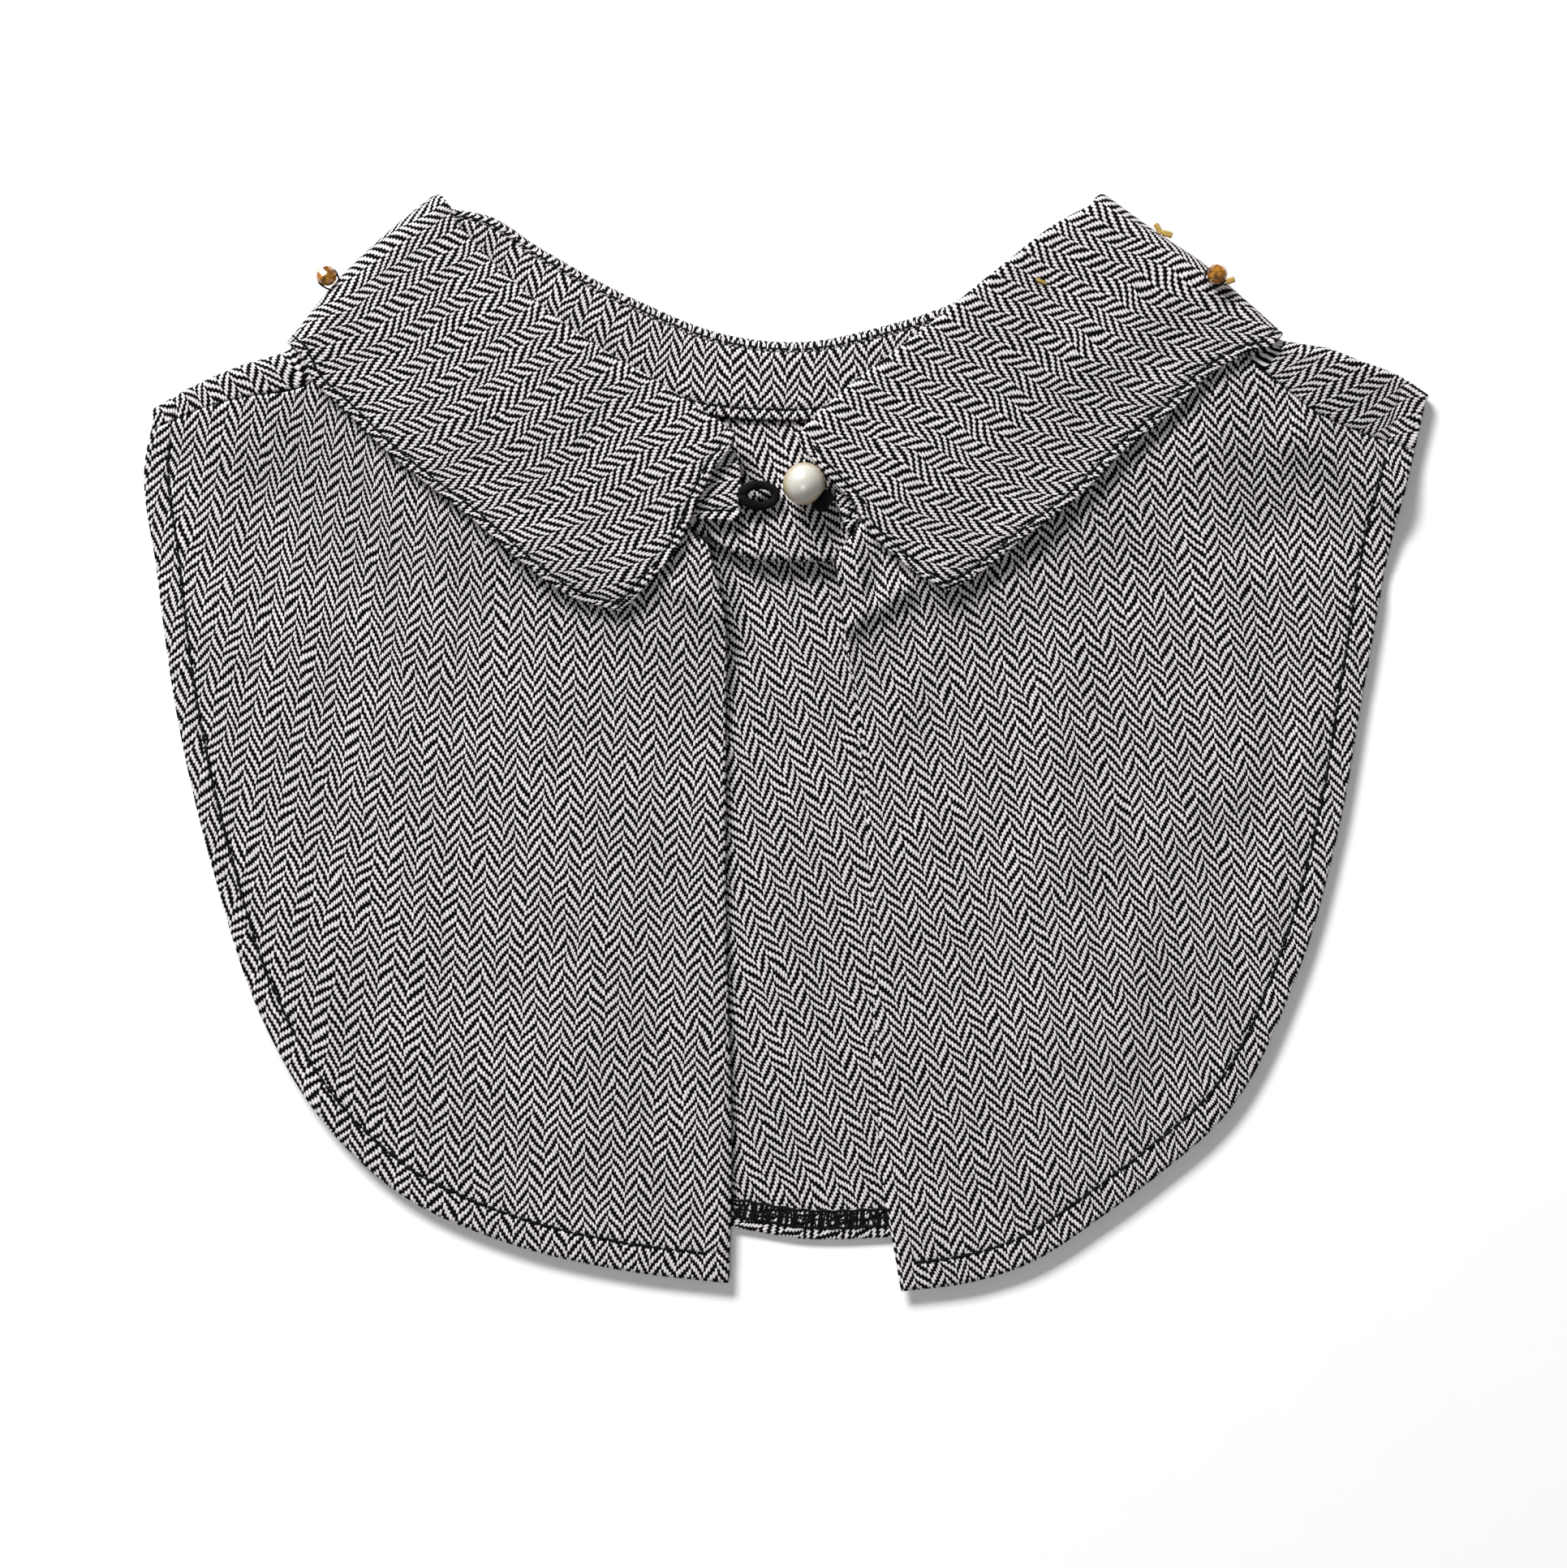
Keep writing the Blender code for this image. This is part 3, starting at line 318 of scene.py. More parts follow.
def puff(x, y):
    """How far the cloth above the tuck has risen, from nothing at the neck seam to one at the lip."""
    across = fade(off_middle(x), *TUCK_HEIGHT_FADES)
    along = fade(y, *PUFF_ABOVE) * (1 - fade(y, *PUFF_BELOW))
    off_x, off_y = (x - TROUGH["x"]) / TROUGH["across"], (y - TROUGH["y"]) / TROUGH["along"]
    return across * along * (1 - TROUGH["share"] * np.exp(-(off_x**2 + off_y**2)))


def front_height(x, y):
    """Middle of the layer that the two fronts make, held up near the collar and the shoulders."""
    from_fold = np.minimum(off_line(line_of(FOLD_LEFT), x, y), off_line(line_of(FOLD_RIGHT), x, y))
    from_wrap = np.minimum(off_line(line_of(WRAP_LEFT), x, y), off_line(line_of(WRAP_RIGHT), x, y))
    from_shoulder = np.minimum(
        off_line(line_of(SHOULDER_LEFT), x, y), off_line(line_of(SHOULDER_RIGHT), x, y)
    )
    by_fold = fade(from_fold, *FOLD_FADES)
    by_wrap = fade(from_wrap, *WRAP_FADES) * WRAP_LOFT / COLLAR_LOFT
    loft = COLLAR_LOFT * (1 - (1 - by_fold) * (1 - by_wrap))
    over_back = PLY * fade(outside(BACK_OUTLINE, x, y), *BACK_FADES)
    over_fall = PLY * fade(outside(FALL_OUTLINE, x, y), *FALL_FADES)
    by_shoulder = SHOULDER_LOFT * fade(from_shoulder, *SHOULDER_FADES)
    free = HALF + over_fall + over_back + loft + by_shoulder + ridge(FOLDS, x, y)
    needed = HALF + (TUCK_TOP - HALF) * puff(x, y) + PLY + TUCK_CLEARS
    return (free + needed + np.sqrt((free - needed) ** 2 + TUCK_BLEND)) / 2


def leaf_height(x, y, rise):
    """Middle of a leaf of the collar: one layer above the fronts, and springing up at its fold."""
    return front_height(x, y) + PLY + rise


def in_metres(points):
    """Points brought from the plan of the tables, in millimetres, to the model, in metres."""
    return (np.asarray(points, float) - ORIGIN) * MM


# What each front is made from: its neck, outline, shoulder seam and opening edge
FRONTS = {
    "left": (NECK_LEFT, OUTLINE_LEFT, SHOULDER_SEAM_LEFT, OPENING_LEFT),
    "right": (NECK_RIGHT, OUTLINE_RIGHT, SHOULDER_SEAM_RIGHT, OPENING_RIGHT),
}

# Beads: small ones at the right turn of the neck, each with the share of its edge, the angle above its
# axis, the length, the width, and the way that it points, in degrees from the right
SMALL_BEADS = [(0.68, 12, 2.4, 1.6, 20), (0.30, 2, 3.0, 1.5, -62), (0.345, 8, 2.6, 1.7, -15)]
SLIVER_AT = (62.2, 112.7)  # of one more, that lies on the right leaf
SLIVER = (2.6, 1.0, -25.0)  # its length, width and way
# Colours of the beads' linings, also painted in flecks as the dark reflections in the facets
AMBER_LINING_FACET_SHADE = (0.10, 0.035, 0.008)
GOLD_LINING_FACET_SHADE = (0.42, 0.26, 0.05)
BEAD_THREAD = 0.24  # radius
# White slubs on the left front: x, y, length, width and direction in degrees
SLUBS = [(-102.8, -8.3, 2.4, 1.5, 35.0), (-76.8, 49.0, 1.4, 0.8, 10.0)]

# The photo: the place under its middle, its width on the floor, and the level that it is matched at
PHOTO_MIDDLE = (-0.9, -10.5)
PHOTO_WIDTH = 386.2
PHOTO_LEVEL = 6.0

# Stage: the floor in millimetres, and the place and the size of each lamp in metres
FLOOR_REACH = 3000.0
FLOOR_STEPS = 9
FLOOR_LEVEL = -0.05
KEY_LAMP = ((-0.85, 1.6, 1.15), (1.0, 0.5))
FILL_LAMP = ((-0.2, -0.7, 1.8), (0.6, 0.4))

# Fine creases of the fronts, on top of their soft folds
FRONT_CREASES = [
    {"x0": -26.5, "y0": 37.5, "x1": -15.8, "y1": 30.5, "height": 1.1, "width": 2.1},
    {"x0": -31.0, "y0": 26.0, "x1": -21.0, "y1": 12.0, "height": 0.5, "width": 4.0},
    {"x0": 29.0, "y0": 37.3, "x1": 14.8, "y1": 28.5, "height": 2.0, "width": 2.0},
    {"x0": 16.2, "y0": 47.7, "x1": 18.4, "y1": 35.0, "height": 1.3, "width": 1.9},
    {"x0": 22.6, "y0": 45.0, "x1": 22.0, "y1": 37.5, "height": -0.8, "width": 2.2},
    {"x0": 13.5, "y0": 24.0, "x1": 17.0, "y1": -12.0, "height": 0.45, "width": 2.0},
    {"x0": 36.0, "y0": 24.0, "x1": 27.0, "y1": 4.0, "height": 0.55, "width": 4.5},
    {"x0": 124.0, "y0": 54.7, "x1": 146.0, "y1": 42.7, "height": -0.9, "width": 5.0},
    {"x0": 120.0, "y0": 42.0, "x1": 136.0, "y1": 22.0, "height": 0.7, "width": 5.0},
    {"x0": -152.0, "y0": 58.0, "x1": -137.0, "y1": 22.0, "height": 0.75, "width": 5.0},
    {"x0": -131.0, "y0": 62.0, "x1": -126.0, "y1": 34.0, "height": -0.6, "width": 4.5},
    {"x0": -101.0, "y0": 6.0, "x1": -92.0, "y1": -52.0, "height": 0.6, "width": 6.5},
    {"x0": -47.0, "y0": -24.0, "x1": -33.0, "y1": -88.0, "height": -0.35, "width": 8.0},
    {"x0": -122.0, "y0": -38.0, "x1": -99.0, "y1": -79.0, "height": 0.65, "width": 5.5},
    {"x0": -72.0, "y0": -84.0, "x1": -52.0, "y1": -103.0, "height": 0.5, "width": 4.5},
    {"x0": 40.0, "y0": 2.0, "x1": 53.0, "y1": -58.0, "height": -0.35, "width": 7.5},
    {"x0": 68.0, "y0": 22.0, "x1": 62.0, "y1": -34.0, "height": 0.6, "width": 7.0},
    {"x0": 92.0, "y0": -22.0, "x1": 82.0, "y1": -77.0, "height": 0.65, "width": 6.5},
    {"x0": 115.0, "y0": 30.0, "x1": 124.0, "y1": -14.0, "height": -0.4, "width": 5.5},
    {"x0": 130.0, "y0": 6.0, "x1": 117.0, "y1": -45.0, "height": 0.65, "width": 4.5},
    {"x0": 35.0, "y0": -96.0, "x1": 61.0, "y1": -111.0, "height": 0.5, "width": 5.0},
]
# Creases of the collar's leaves
LEAF_CREASES = [
    {"x0": -103.0, "y0": 108.0, "x1": -72.0, "y1": 86.0, "height": 0.35, "width": 6.0},
    {"x0": -60.0, "y0": 58.0, "x1": -44.0, "y1": 79.0, "height": -0.3, "width": 5.0},
    {"x0": -96.0, "y0": 83.0, "x1": -83.0, "y1": 71.0, "height": 0.3, "width": 3.5},
    {"x0": -38.0, "y0": 52.0, "x1": -30.0, "y1": 64.0, "height": 0.25, "width": 3.5},
    {"x0": 97.0, "y0": 112.0, "x1": 71.0, "y1": 91.0, "height": 0.35, "width": 6.5},
    {"x0": 62.0, "y0": 63.0, "x1": 47.0, "y1": 82.0, "height": -0.3, "width": 5.5},
    {"x0": 33.0, "y0": 47.0, "x1": 37.0, "y1": 61.0, "height": 0.25, "width": 3.5},
    {"x0": 88.0, "y0": 84.0, "x1": 99.0, "y1": 93.0, "height": 0.3, "width": 3.0},
    {"x0": -64.0, "y0": 44.0, "x1": -41.5, "y1": 32.0, "height": 1.2, "width": 8.0},
    {"x0": -100.0, "y0": 72.0, "x1": -68.0, "y1": 47.0, "height": 0.6, "width": 7.0},
    {"x0": 39.5, "y0": 37.0, "x1": 59.0, "y1": 51.0, "height": 1.1, "width": 8.0},
    {"x0": 63.0, "y0": 54.0, "x1": 96.0, "y1": 83.0, "height": 0.6, "width": 7.0},
]
# Creases of the back panel and of the fall under it, which rise from the surface
UNDER_CREASES = [
    {"x0": -112.0, "y0": 18.0, "x1": -63.0, "y1": -34.0, "height": 0.3, "width": 5.0},
    {"x0": -36.0, "y0": -12.0, "x1": -58.0, "y1": -70.0, "height": 0.25, "width": 6.5},
    {"x0": 18.0, "y0": 24.0, "x1": 44.0, "y1": -46.0, "height": 0.3, "width": 5.5},
    {"x0": 96.0, "y0": 30.0, "x1": 76.0, "y1": -12.0, "height": 0.25, "width": 4.5},
    {"x0": 64.0, "y0": -58.0, "x1": 96.0, "y1": -74.0, "height": 0.3, "width": 6.0},
    {"x0": -44.0, "y0": 70.0, "x1": -66.0, "y1": 92.0, "height": 0.3, "width": 4.0},
    {"x0": 20.0, "y0": 66.0, "x1": 30.0, "y1": 88.0, "height": 0.3, "width": 4.5},
    {"x0": 62.0, "y0": 80.0, "x1": 72.0, "y1": 104.0, "height": 0.25, "width": 3.5},
]

# Weave: the way of the columns, in degrees from the right, and how it turns across a piece
LEAF_GRAIN = {"left": 18.0, "right": 165.0}
STAND_GRAIN = [(0.0, 70.0), (0.3, 72.0), (0.42, 89.0), (0.7, 89.0), (1.0, 95.0)]  # share, degrees
FRONT_LEAN = {  # degrees to the right, near and far from the middle, and the places between
    "left": {"near": 2.0, "far": 11.0, "from": 65.0, "to": 158.0},
    "right": {"near": -12.5, "far": -6.5, "from": 40.0, "to": 140.0},
}
BACK_LEAN = -17.0
LEAN_LEVEL = -20.0  # Y of the line along which the columns are evenly spaced
# How the yarns wander: noise's scale to the millimetre, its detail, and how far it moves them. The
# first is the slow drift of whole columns and the second the waver of single yarns.
WANDER = ((0.11, 1.0, 2.6), (1.2, 2.0, 0.42))

# Sewing
EDGE_STITCH = 2.0  # in from the edges of the collar
SEAM_STITCH = 0.6
BAND_STITCH = 2.3
HEM_STITCH = 6.6
STITCH_LIFT = 0.44  # of the middle of a stitch, from the cloth's middle
GROOVE_WIDTH = 0.6
GROOVE_DEPTH = 0.56  # share of the cloth's thickness
HEM_THREAD = 1.35  # how much the hems' stitches are wider than the collar's
STITCH_TURNS = 6  # points round a stitch, and sections along it
TURN_UP_WIDTH = 7.4  # of the back's turned hem
TURN_UP_WALL = 0.5
TURN_UP_SHOWS = (-22, 33)  # X between which the turned hem shows, and is overlocked
TURN_UP_GRAIN = ([-20.0, 30.0], [28.0, 58.0])  # X, and the way of its columns there in degrees
TURN_UP_MIDDLE = (4.0, -121.0)
OVERLOCK_WIDTH = 4.4
OVERLOCK_STEPS = 1500
OVERLOCK_PITCH = 1.15
OVERLOCK_THREAD = 0.25  # radius
OVERLOCK_RUNS = ((0.0, 0.36, 1.3), (0.97, 0.4, 2.1), (0.5, 0.22, 2.9))  # share across, radius, wave


def raised(plan, height):
    """A plan of points brought to a height worked out from x and y."""
    z = height(plan[..., 0], plan[..., 1])
    return np.concatenate([plan, z[..., None]], axis=-1)


def meet(curve, t, first, last):
    """A curve moved softly, so that its two ends meet two given points."""
    t = np.asarray(t, float)[:, None]
    return curve + (1 - t) ** 3 * (first - curve[0]) + t**3 * (last - curve[-1])


# What each side of the collar is made from
SIDES = {
    "left": {
        "fold": FOLD_LEFT,
        "edge": EDGE_LEFT,
        "front": FRONT_LEFT,
        "wrap": WRAP_LEFT,
        "seam": SEAM_LEFT,
        "end": STAND_END_LEFT,
        "shoulder": SHOULDER_LEFT,
        "shoulder_seam": SHOULDER_SEAM_LEFT,
        "covered": 34.5,
        "sign": 1,
    },
    "right": {
        "fold": FOLD_RIGHT,
        "edge": EDGE_RIGHT,
        "front": FRONT_RIGHT,
        "wrap": WRAP_RIGHT,
        "seam": SEAM_RIGHT,
        "end": STAND_END_RIGHT,
        "shoulder": SHOULDER_RIGHT,
        "shoulder_seam": SHOULDER_SEAM_RIGHT,
        "covered": 39.0,
        "sign": -1,
    },
}
TURN_ANGLES = np.linspace(80, -80, 17)  # round the turns at the neck and the shoulders
# Across the fall and the stand from the fold, and along a leaf, all closer where the stitches are
FALL_SHARES = np.concatenate([np.linspace(0.07, 0.93, 48)[:-1], np.linspace(0.93, 1.0, 22)])
STAND_SHARES = np.concatenate([np.linspace(0.0, 0.78, 14)[:-1], np.linspace(0.78, 1.0, 19)])
LEAF_SECTIONS = np.concatenate([np.linspace(0.0, 0.035, 15)[:-1], np.linspace(0.035, 1.0, 67)])
ACROSS = np.linspace(-1, 1, 151)
BACK_SHARES = 0.5 + 0.4 * ACROSS + 0.1 * ACROSS**3  # sections of the back, closer in the middle


def wrap(side, s):
    """The turn of the fall at one side of the neck, at the shares s of its edge from the fold.

    It gives the way in, the radius of the turn, the height of its axis and the axis in plan.
    """
    table, sign = SIDES[side]["wrap"], SIDES[side]["sign"]
    inward = turned(direction(table, s)) * sign
    edge = smooth(table, s)
    x, y = (edge + inward * WRAP_LEVEL_AT).T
    radius = (front_height(x, y) + PLY - FALL_UNDER) / 2
    axis = edge + inward * (HALF + radius)[:, None]
    return {"inward": inward, "radius": radius, "axis_z": radius + FALL_UNDER, "axis": axis}


def shoulder_turn(side, s):
    """The turn over a shoulder, inside that of the fall where the fall covers it."""
    table, sign, reach = SIDES[side]["shoulder"], SIDES[side]["sign"], SIDES[side]["covered"]
    inward = turned(direction(table, s)) * sign
    edge = smooth(table, s)
    covered = fade(np.linalg.norm(edge - edge[0], axis=-1), reach, reach + COVER_END)
    x, y = (edge + inward * TURN_LEVEL_AT).T
    low = back_height(x, y)
    radius = (front_height(x, y) - low) / 2
    axis = edge + inward * (HALF + PLY * covered + radius)[:, None]
    return {"inward": inward, "radius": radius, "axis_z": low + radius, "axis": axis}


def shoulder(side, s):
    """The turn of the back panel over a shoulder, moved at the neck to meet the end of its seam."""
    turn = shoulder_turn(side, s)
    moved = neck_end(side) - shoulder_turn(side, np.array([0.0]))["axis"][0]
    turn["axis"] = turn["axis"] + (1 - s[:, None]) ** 3 * moved
    return turn


def edge_length(table):
    """Length of a table's smooth line."""
    return np.linalg.norm(np.diff(line_of(table), axis=0), axis=1).sum()


def neck_end(side):
    """Where the neck seam reaches the turn at one side, on the axis of the turn."""
    share = STAND_HEIGHT / edge_length(SIDES[side]["wrap"])
    return wrap(side, np.array([share]))["axis"][0]


def back_seam():
    """The neck seam of the back at its sections."""
    return meet(smooth(SEAM_BACK, BACK_SHARES), BACK_SHARES, neck_end("left"), neck_end("right"))


def round_turn(turn, angles):
    """Rows that go round the axis of a turn, from above it to below it."""
    angles = np.radians(np.asarray(angles, float))[:, None]
    plan = turn["axis"][None] - turn["inward"][None] * (turn["radius"] * np.cos(angles))[..., None]
    z = turn["axis_z"] + turn["radius"] * np.sin(angles)
    return np.concatenate([plan, z[..., None]], axis=-1)


def tuck_profile(folded):
    """The tuck in section, from fully folded at one to a plain slope at nothing.

    The cloth turns down at the lip and back at the root, by the same angle and radius, with a
    straight run between. It gives the places along the cloth, from the first turn, and the heights.
    """
    angle = np.radians(max(TUCK_SLOPE, 180 * min(2 * folded, 1)))
    overlap = TUCK_DEPTH - HALF - 2 * TUCK_BEND
    run = 2 * TUCK_BEND / np.tan(angle / 2) + max(2 * folded - 1, 0) * overlap
    turns = np.linspace(0, angle, TUCK_TURNS + 1)
    lip_x = TUCK_BEND * np.sin(turns)
    lip_z = TUCK_TOP - TUCK_BEND * (1 - np.cos(turns))
    root_x = lip_x[-1] + run * np.cos(angle) + TUCK_BEND * (np.sin(angle) - np.sin(turns[::-1]))
    root_z = HALF + TUCK_BEND * (1 - np.cos(turns[::-1]))
    along = np.concatenate([[-5.4, -2.4], lip_x, root_x, root_x[-1] + [2.5, 6.5]])
    up = np.concatenate([[TUCK_TOP, TUCK_TOP], lip_z, root_z, [HALF, HALF]])
    return along, up


def back_section(section):
    """One section of the back, from the neck seam to the hem, with the tuck where it is.

    It gives the section's points and the shares of its length that they are at.
    """
    length = reach_of(section)
    lip_x, lip_y = np.array(TUCK_LIP, float).T
    below = np.interp(section[:, 0], lip_x, lip_y) - section[:, 1]
    lip = min(np.interp(0, below, length), length[-1] / 2)
    middle = off_middle(np.interp(lip, length, section[:, 0]))
    risen = fade(middle, *TUCK_HEIGHT_FADES)
    along, up = tuck_profile(float(fade(middle, *TUCK_DEPTH_FADES)))
    tuck = lip - HALF - TUCK_BEND + along * (2 - risen)
    top = np.linspace(SEAM_EASE, tuck[0], 25)[:-1]
    rest = np.linspace(tuck[-1], length[-1], 100)[1:]
    places = np.concatenate([top, tuck, rest])
    x = np.interp(places, length, section[:, 0])
    y = np.interp(places, length, section[:, 1])
    z = back_height(x, y)
    above, turned_under = slice(0, len(top)), slice(len(top), len(top) + len(up))
    z[above] = z[above] + (TUCK_TOP - z[above]) * puff(x[above], y[above])
    z[turned_under] = z[turned_under] + (up - z[turned_under]) * risen
    return np.stack([x, y, z], axis=-1), places / length[-1]


def over_shoulder(side, shares):
    """Rows of the back panel from its seam with a front, over the shoulder, to under it."""
    turn = shoulder(side, shares)
    way = smooth(SIDES[side]["shoulder_seam"], shares) - turn["axis"]
    span = np.linalg.norm(way, axis=-1, keepdims=True)
    parts = np.linspace(1, 0, 10)[:-1]
    over = [raised(turn["axis"] + way * (1 - SEAM_EASE / span) * part, front_height) for part in parts]
    return over + list(round_turn(turn, [90, *TURN_ANGLES]))


def fold_roll(apex, away, normal, radius, middle_z):
    """The fall's turn at its fold, from its seam with the stand: half a tube on each section.

    apex is the line of the fold, away points from it into the collar, and normal points from the
    stand to the fall.
    """
    turns = np.radians(np.linspace(-90, 90, 10))[None, :, None]
    radius = np.broadcast_to(radius, len(apex))[:, None, None]
    flat = np.concatenate([apex, middle_z[:, None]], axis=-1)[:, None]
    away = np.concatenate([away, np.zeros((len(away), 1))], axis=-1)[:, None]
    normal = normal[:, None]
    roll = flat + away * (HALF + radius * (1 - np.cos(turns))) + normal * radius * np.sin(turns)
    lip = flat + away * (HALF + LIP) - normal * radius
    return np.concatenate([lip, roll], axis=1)


def corner(side):
    """Where the folds of a leaf and of the back meet: the axis, its height, and the ways from it."""
    turn = wrap(side, np.array([0.0, 0.05]))
    return {
        "axis": turn["axis"][0],
        "axis_z": turn["axis_z"][0],
        "radius": turn["radius"][0],
        "outward": -turn["inward"][0],
        "along": unit(turn["axis"][1] - turn["axis"][0]),
    }


def stand_turn(side):
    """The turn of the stand, inside that of the fall, from its upper edge to its seam."""
    at = corner(side)
    reach = STAND_EDGE + (STAND_HEIGHT - STAND_EDGE - SEAM_EASE) * STAND_SHARES
    turn = wrap(side, reach / edge_length(SIDES[side]["wrap"]))
    turn["axis_z"] = np.full(len(reach), at["axis_z"])
    turn["radius"] = np.full(len(reach), at["radius"] - FOLD_WIDTH)
    return turn


def with_height(plan, z):
    """A grid of plan points with one height for each of its rows."""
    return np.concatenate([plan, np.broadcast_to(z[:, None, None], plan.shape[:2] + (1,))], axis=-1)


def leaf_rows(side):
    """Sections of the fall and of the stand along one leaf, from the front end to the turn."""
    made, at = SIDES[side], corner(side)
    t = LEAF_SECTIONS
    feet = wrap(side, FALL_SHARES)["axis"]
    near = meet(smooth(made["fold"], t), t, np.array(made["front"][0], float), at["axis"])
    far = meet(smooth(made["edge"], t), t, np.array(made["front"][-1], float), feet[-1])
    plan = patch(near, far, smooth(made["front"], FALL_SHARES), feet, t, FALL_SHARES)
    rise = LEAF_LOFT * fade(t, 0.55, 1.0)
    z = leaf_height(plan[..., 0], plan[..., 1], rise[:, None] * (1 - FALL_SHARES[None]) ** 2)
    z = z + ridge(LEAF_CREASES, plan[..., 0], plan[..., 1]) * fade(1 - t, 0.8, 1.0)[:, None]
    fall = np.concatenate([plan, z[..., None]], axis=-1)

    by_end, by_turn = fade(t, 0, 0.2)[:, None], 1 - fade(t, 0.75, 1.0)[:, None]
    square = turned(direction(made["fold"], t)) * made["sign"]
    down_front = direction(made["front"], [0.03])
    away = unit(square * (1 - by_end - by_turn) + down_front * by_end + at["along"] * by_turn)
    up = np.tile([0.0, 0.0, 1.0], (len(t), 1))
    roll = fold_roll(near, away, up, FOLD_WIDTH / 2, LEAF_TOP - FOLD_WIDTH / 2 + rise)

    foot = stand_turn(side)["axis"]
    upper = near + away * STAND_EDGE
    lower = meet(smooth(made["seam"][::-1], t), t, np.array(made["end"][-1], float), foot[-1])
    lower = lower + unit(upper - lower) * SEAM_EASE * fade(t, 0.9, 1.0)[:, None]
    end = meet(smooth(made["end"], 0.12 + 0.88 * STAND_SHARES), STAND_SHARES, upper[0], lower[0])
    stand = with_height(patch(upper, lower, end, foot, t, STAND_SHARES), STAND_OVER + rise)
    return np.concatenate([roll, fall], axis=1), stand


def turn_rows(side):
    """Sections of the fall and of the stand round one side of the neck, from above to below."""
    at = corner(side)
    fall = round_turn(wrap(side, FALL_SHARES), TURN_ANGLES)
    cos, sin = np.cos(np.radians(TURN_ANGLES)), np.sin(np.radians(TURN_ANGLES))
    middle = at["radius"] - FOLD_WIDTH / 2
    apex = at["axis"] + at["outward"] * (middle * cos)[:, None]
    normal = np.concatenate([at["outward"] * cos[:, None], sin[:, None]], axis=-1)
    away = np.tile(at["along"], (len(TURN_ANGLES), 1))
    roll = fold_roll(apex, away, normal, FOLD_WIDTH / 2, at["axis_z"] + middle * sin)
    return np.concatenate([roll, fall], axis=1), round_turn(stand_turn(side), TURN_ANGLES)


def back_rows():
    """Sections of the fall and of the stand along the back, from the left turn to the right one."""
    t = BACK_SHARES
    left, right = corner("left"), corner("right")
    feet_left, feet_right = wrap("left", FALL_SHARES)["axis"], wrap("right", FALL_SHARES)["axis"]
    apex = meet(smooth(FOLD_BACK, t), t, left["axis"], right["axis"])
    edge = meet(smooth(EDGE_BACK, t), t, feet_left[-1], feet_right[-1])
    plan = patch(apex, edge, feet_left, feet_right, t, FALL_SHARES)
    fall = with_height(plan, np.full(len(t), FALL_UNDER))

    by_left, by_right = fade(t, 0, 0.15)[:, None], fade(1 - t, 0, 0.15)[:, None]
    square = -turned(direction(FOLD_BACK, t))
    away = unit(square * (1 - by_left - by_right) + left["along"] * by_left + right["along"] * by_right)
    middle = fade(np.abs(t - 0.5), 0.12, 0.4)
    lifted = STAND_UNDER_SIDE + (STAND_UNDER_MIDDLE - STAND_UNDER_SIDE) * middle
    down = np.tile([0.0, 0.0, -1.0], (len(t), 1))
    roll = fold_roll(apex, away, down, (lifted - FALL_UNDER) / 2, (lifted + FALL_UNDER) / 2)

    upper = apex + away * STAND_EDGE
    lower = back_seam()
    lower = lower + unit(upper - lower) * SEAM_EASE
    foot_left, foot_right = stand_turn("left")["axis"], stand_turn("right")["axis"]
    stand = with_height(patch(upper, lower, foot_left, foot_right, t, STAND_SHARES), lifted)
    return np.concatenate([roll, fall], axis=1), stand


def creased(height, creases):
    """A height function with a table of creases added to it."""
    return lambda x, y: height(x, y) + ridge(creases, x, y)


def normals(grid):
    """Unit normals of a grid, square to its rows and columns."""
    return unit(np.cross(np.gradient(grid, axis=0), np.gradient(grid, axis=1)))


def lengths(grid):
    """Length along each row of a grid, from its first column."""
    steps = np.linalg.norm(np.diff(grid, axis=1), axis=-1)
    return np.concatenate([np.zeros((len(grid), 1)), np.cumsum(steps, axis=1)], axis=1)


def reach_of(line):
    """Distance along a line of points, from its first one."""
    return lengths(line[None])[0]


def places_on(line, reach, at):
    """Points of a line, or normals along it, at the distances at from its start."""
    return np.stack([np.interp(at, reach, line[:, k]) for k in range(3)], axis=-1)


def from_edges(grid, edges):
    """Distance of each point of a grid from the nearest of some of its edges, along the grid."""
    along = lengths(grid)
    across = lengths(grid.swapaxes(0, 1)).T
    found = {
        "first_column": along,
        "last_column": along[:, -1:] - along,
        "first_row": across,
        "last_row": across[-1:] - across,
    }
    return np.min([found[edge] for edge in edges], axis=0)


def pressed(distance, stitched, full, inner):
    """Thickness across a stitched edge: full outside the stitches, a groove at them, then thinner."""
    body = inner + (full - inner) * fade(distance, stitched - 0.3, stitched + 1.2)
    return body * (1 - GROOVE_DEPTH * np.exp(-(((distance - stitched) / GROOVE_WIDTH) ** 2)))


def mesh_object(name, points, faces, finish, uv=None, smooth_shade=True):
    """An object for a mesh in the plan's millimetres, with the weave's map where there is one.

    Its faces are one or more arrays, each of faces with the same number of corners.
    """
    mesh = bpy.data.meshes.new(name)
    mesh.from_pydata(in_metres(points).tolist(), [], [face for some in faces for face in some.tolist()])
    if uv is not None:
        layer = mesh.uv_layers.new(name="cloth")
        corners = np.empty(len(mesh.loops), dtype=np.int32)
        mesh.loops.foreach_get("vertex_index", corners)
        layer.uv.foreach_set("vector", np.asarray(uv, dtype=np.float32)[corners].ravel())
    if smooth_shade:
        mesh.shade_smooth()
    mesh.materials.append(finish)
    made = bpy.data.objects.new(name, mesh)
    bpy.context.scene.collection.objects.link(made)
    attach(made, "root")
    return made


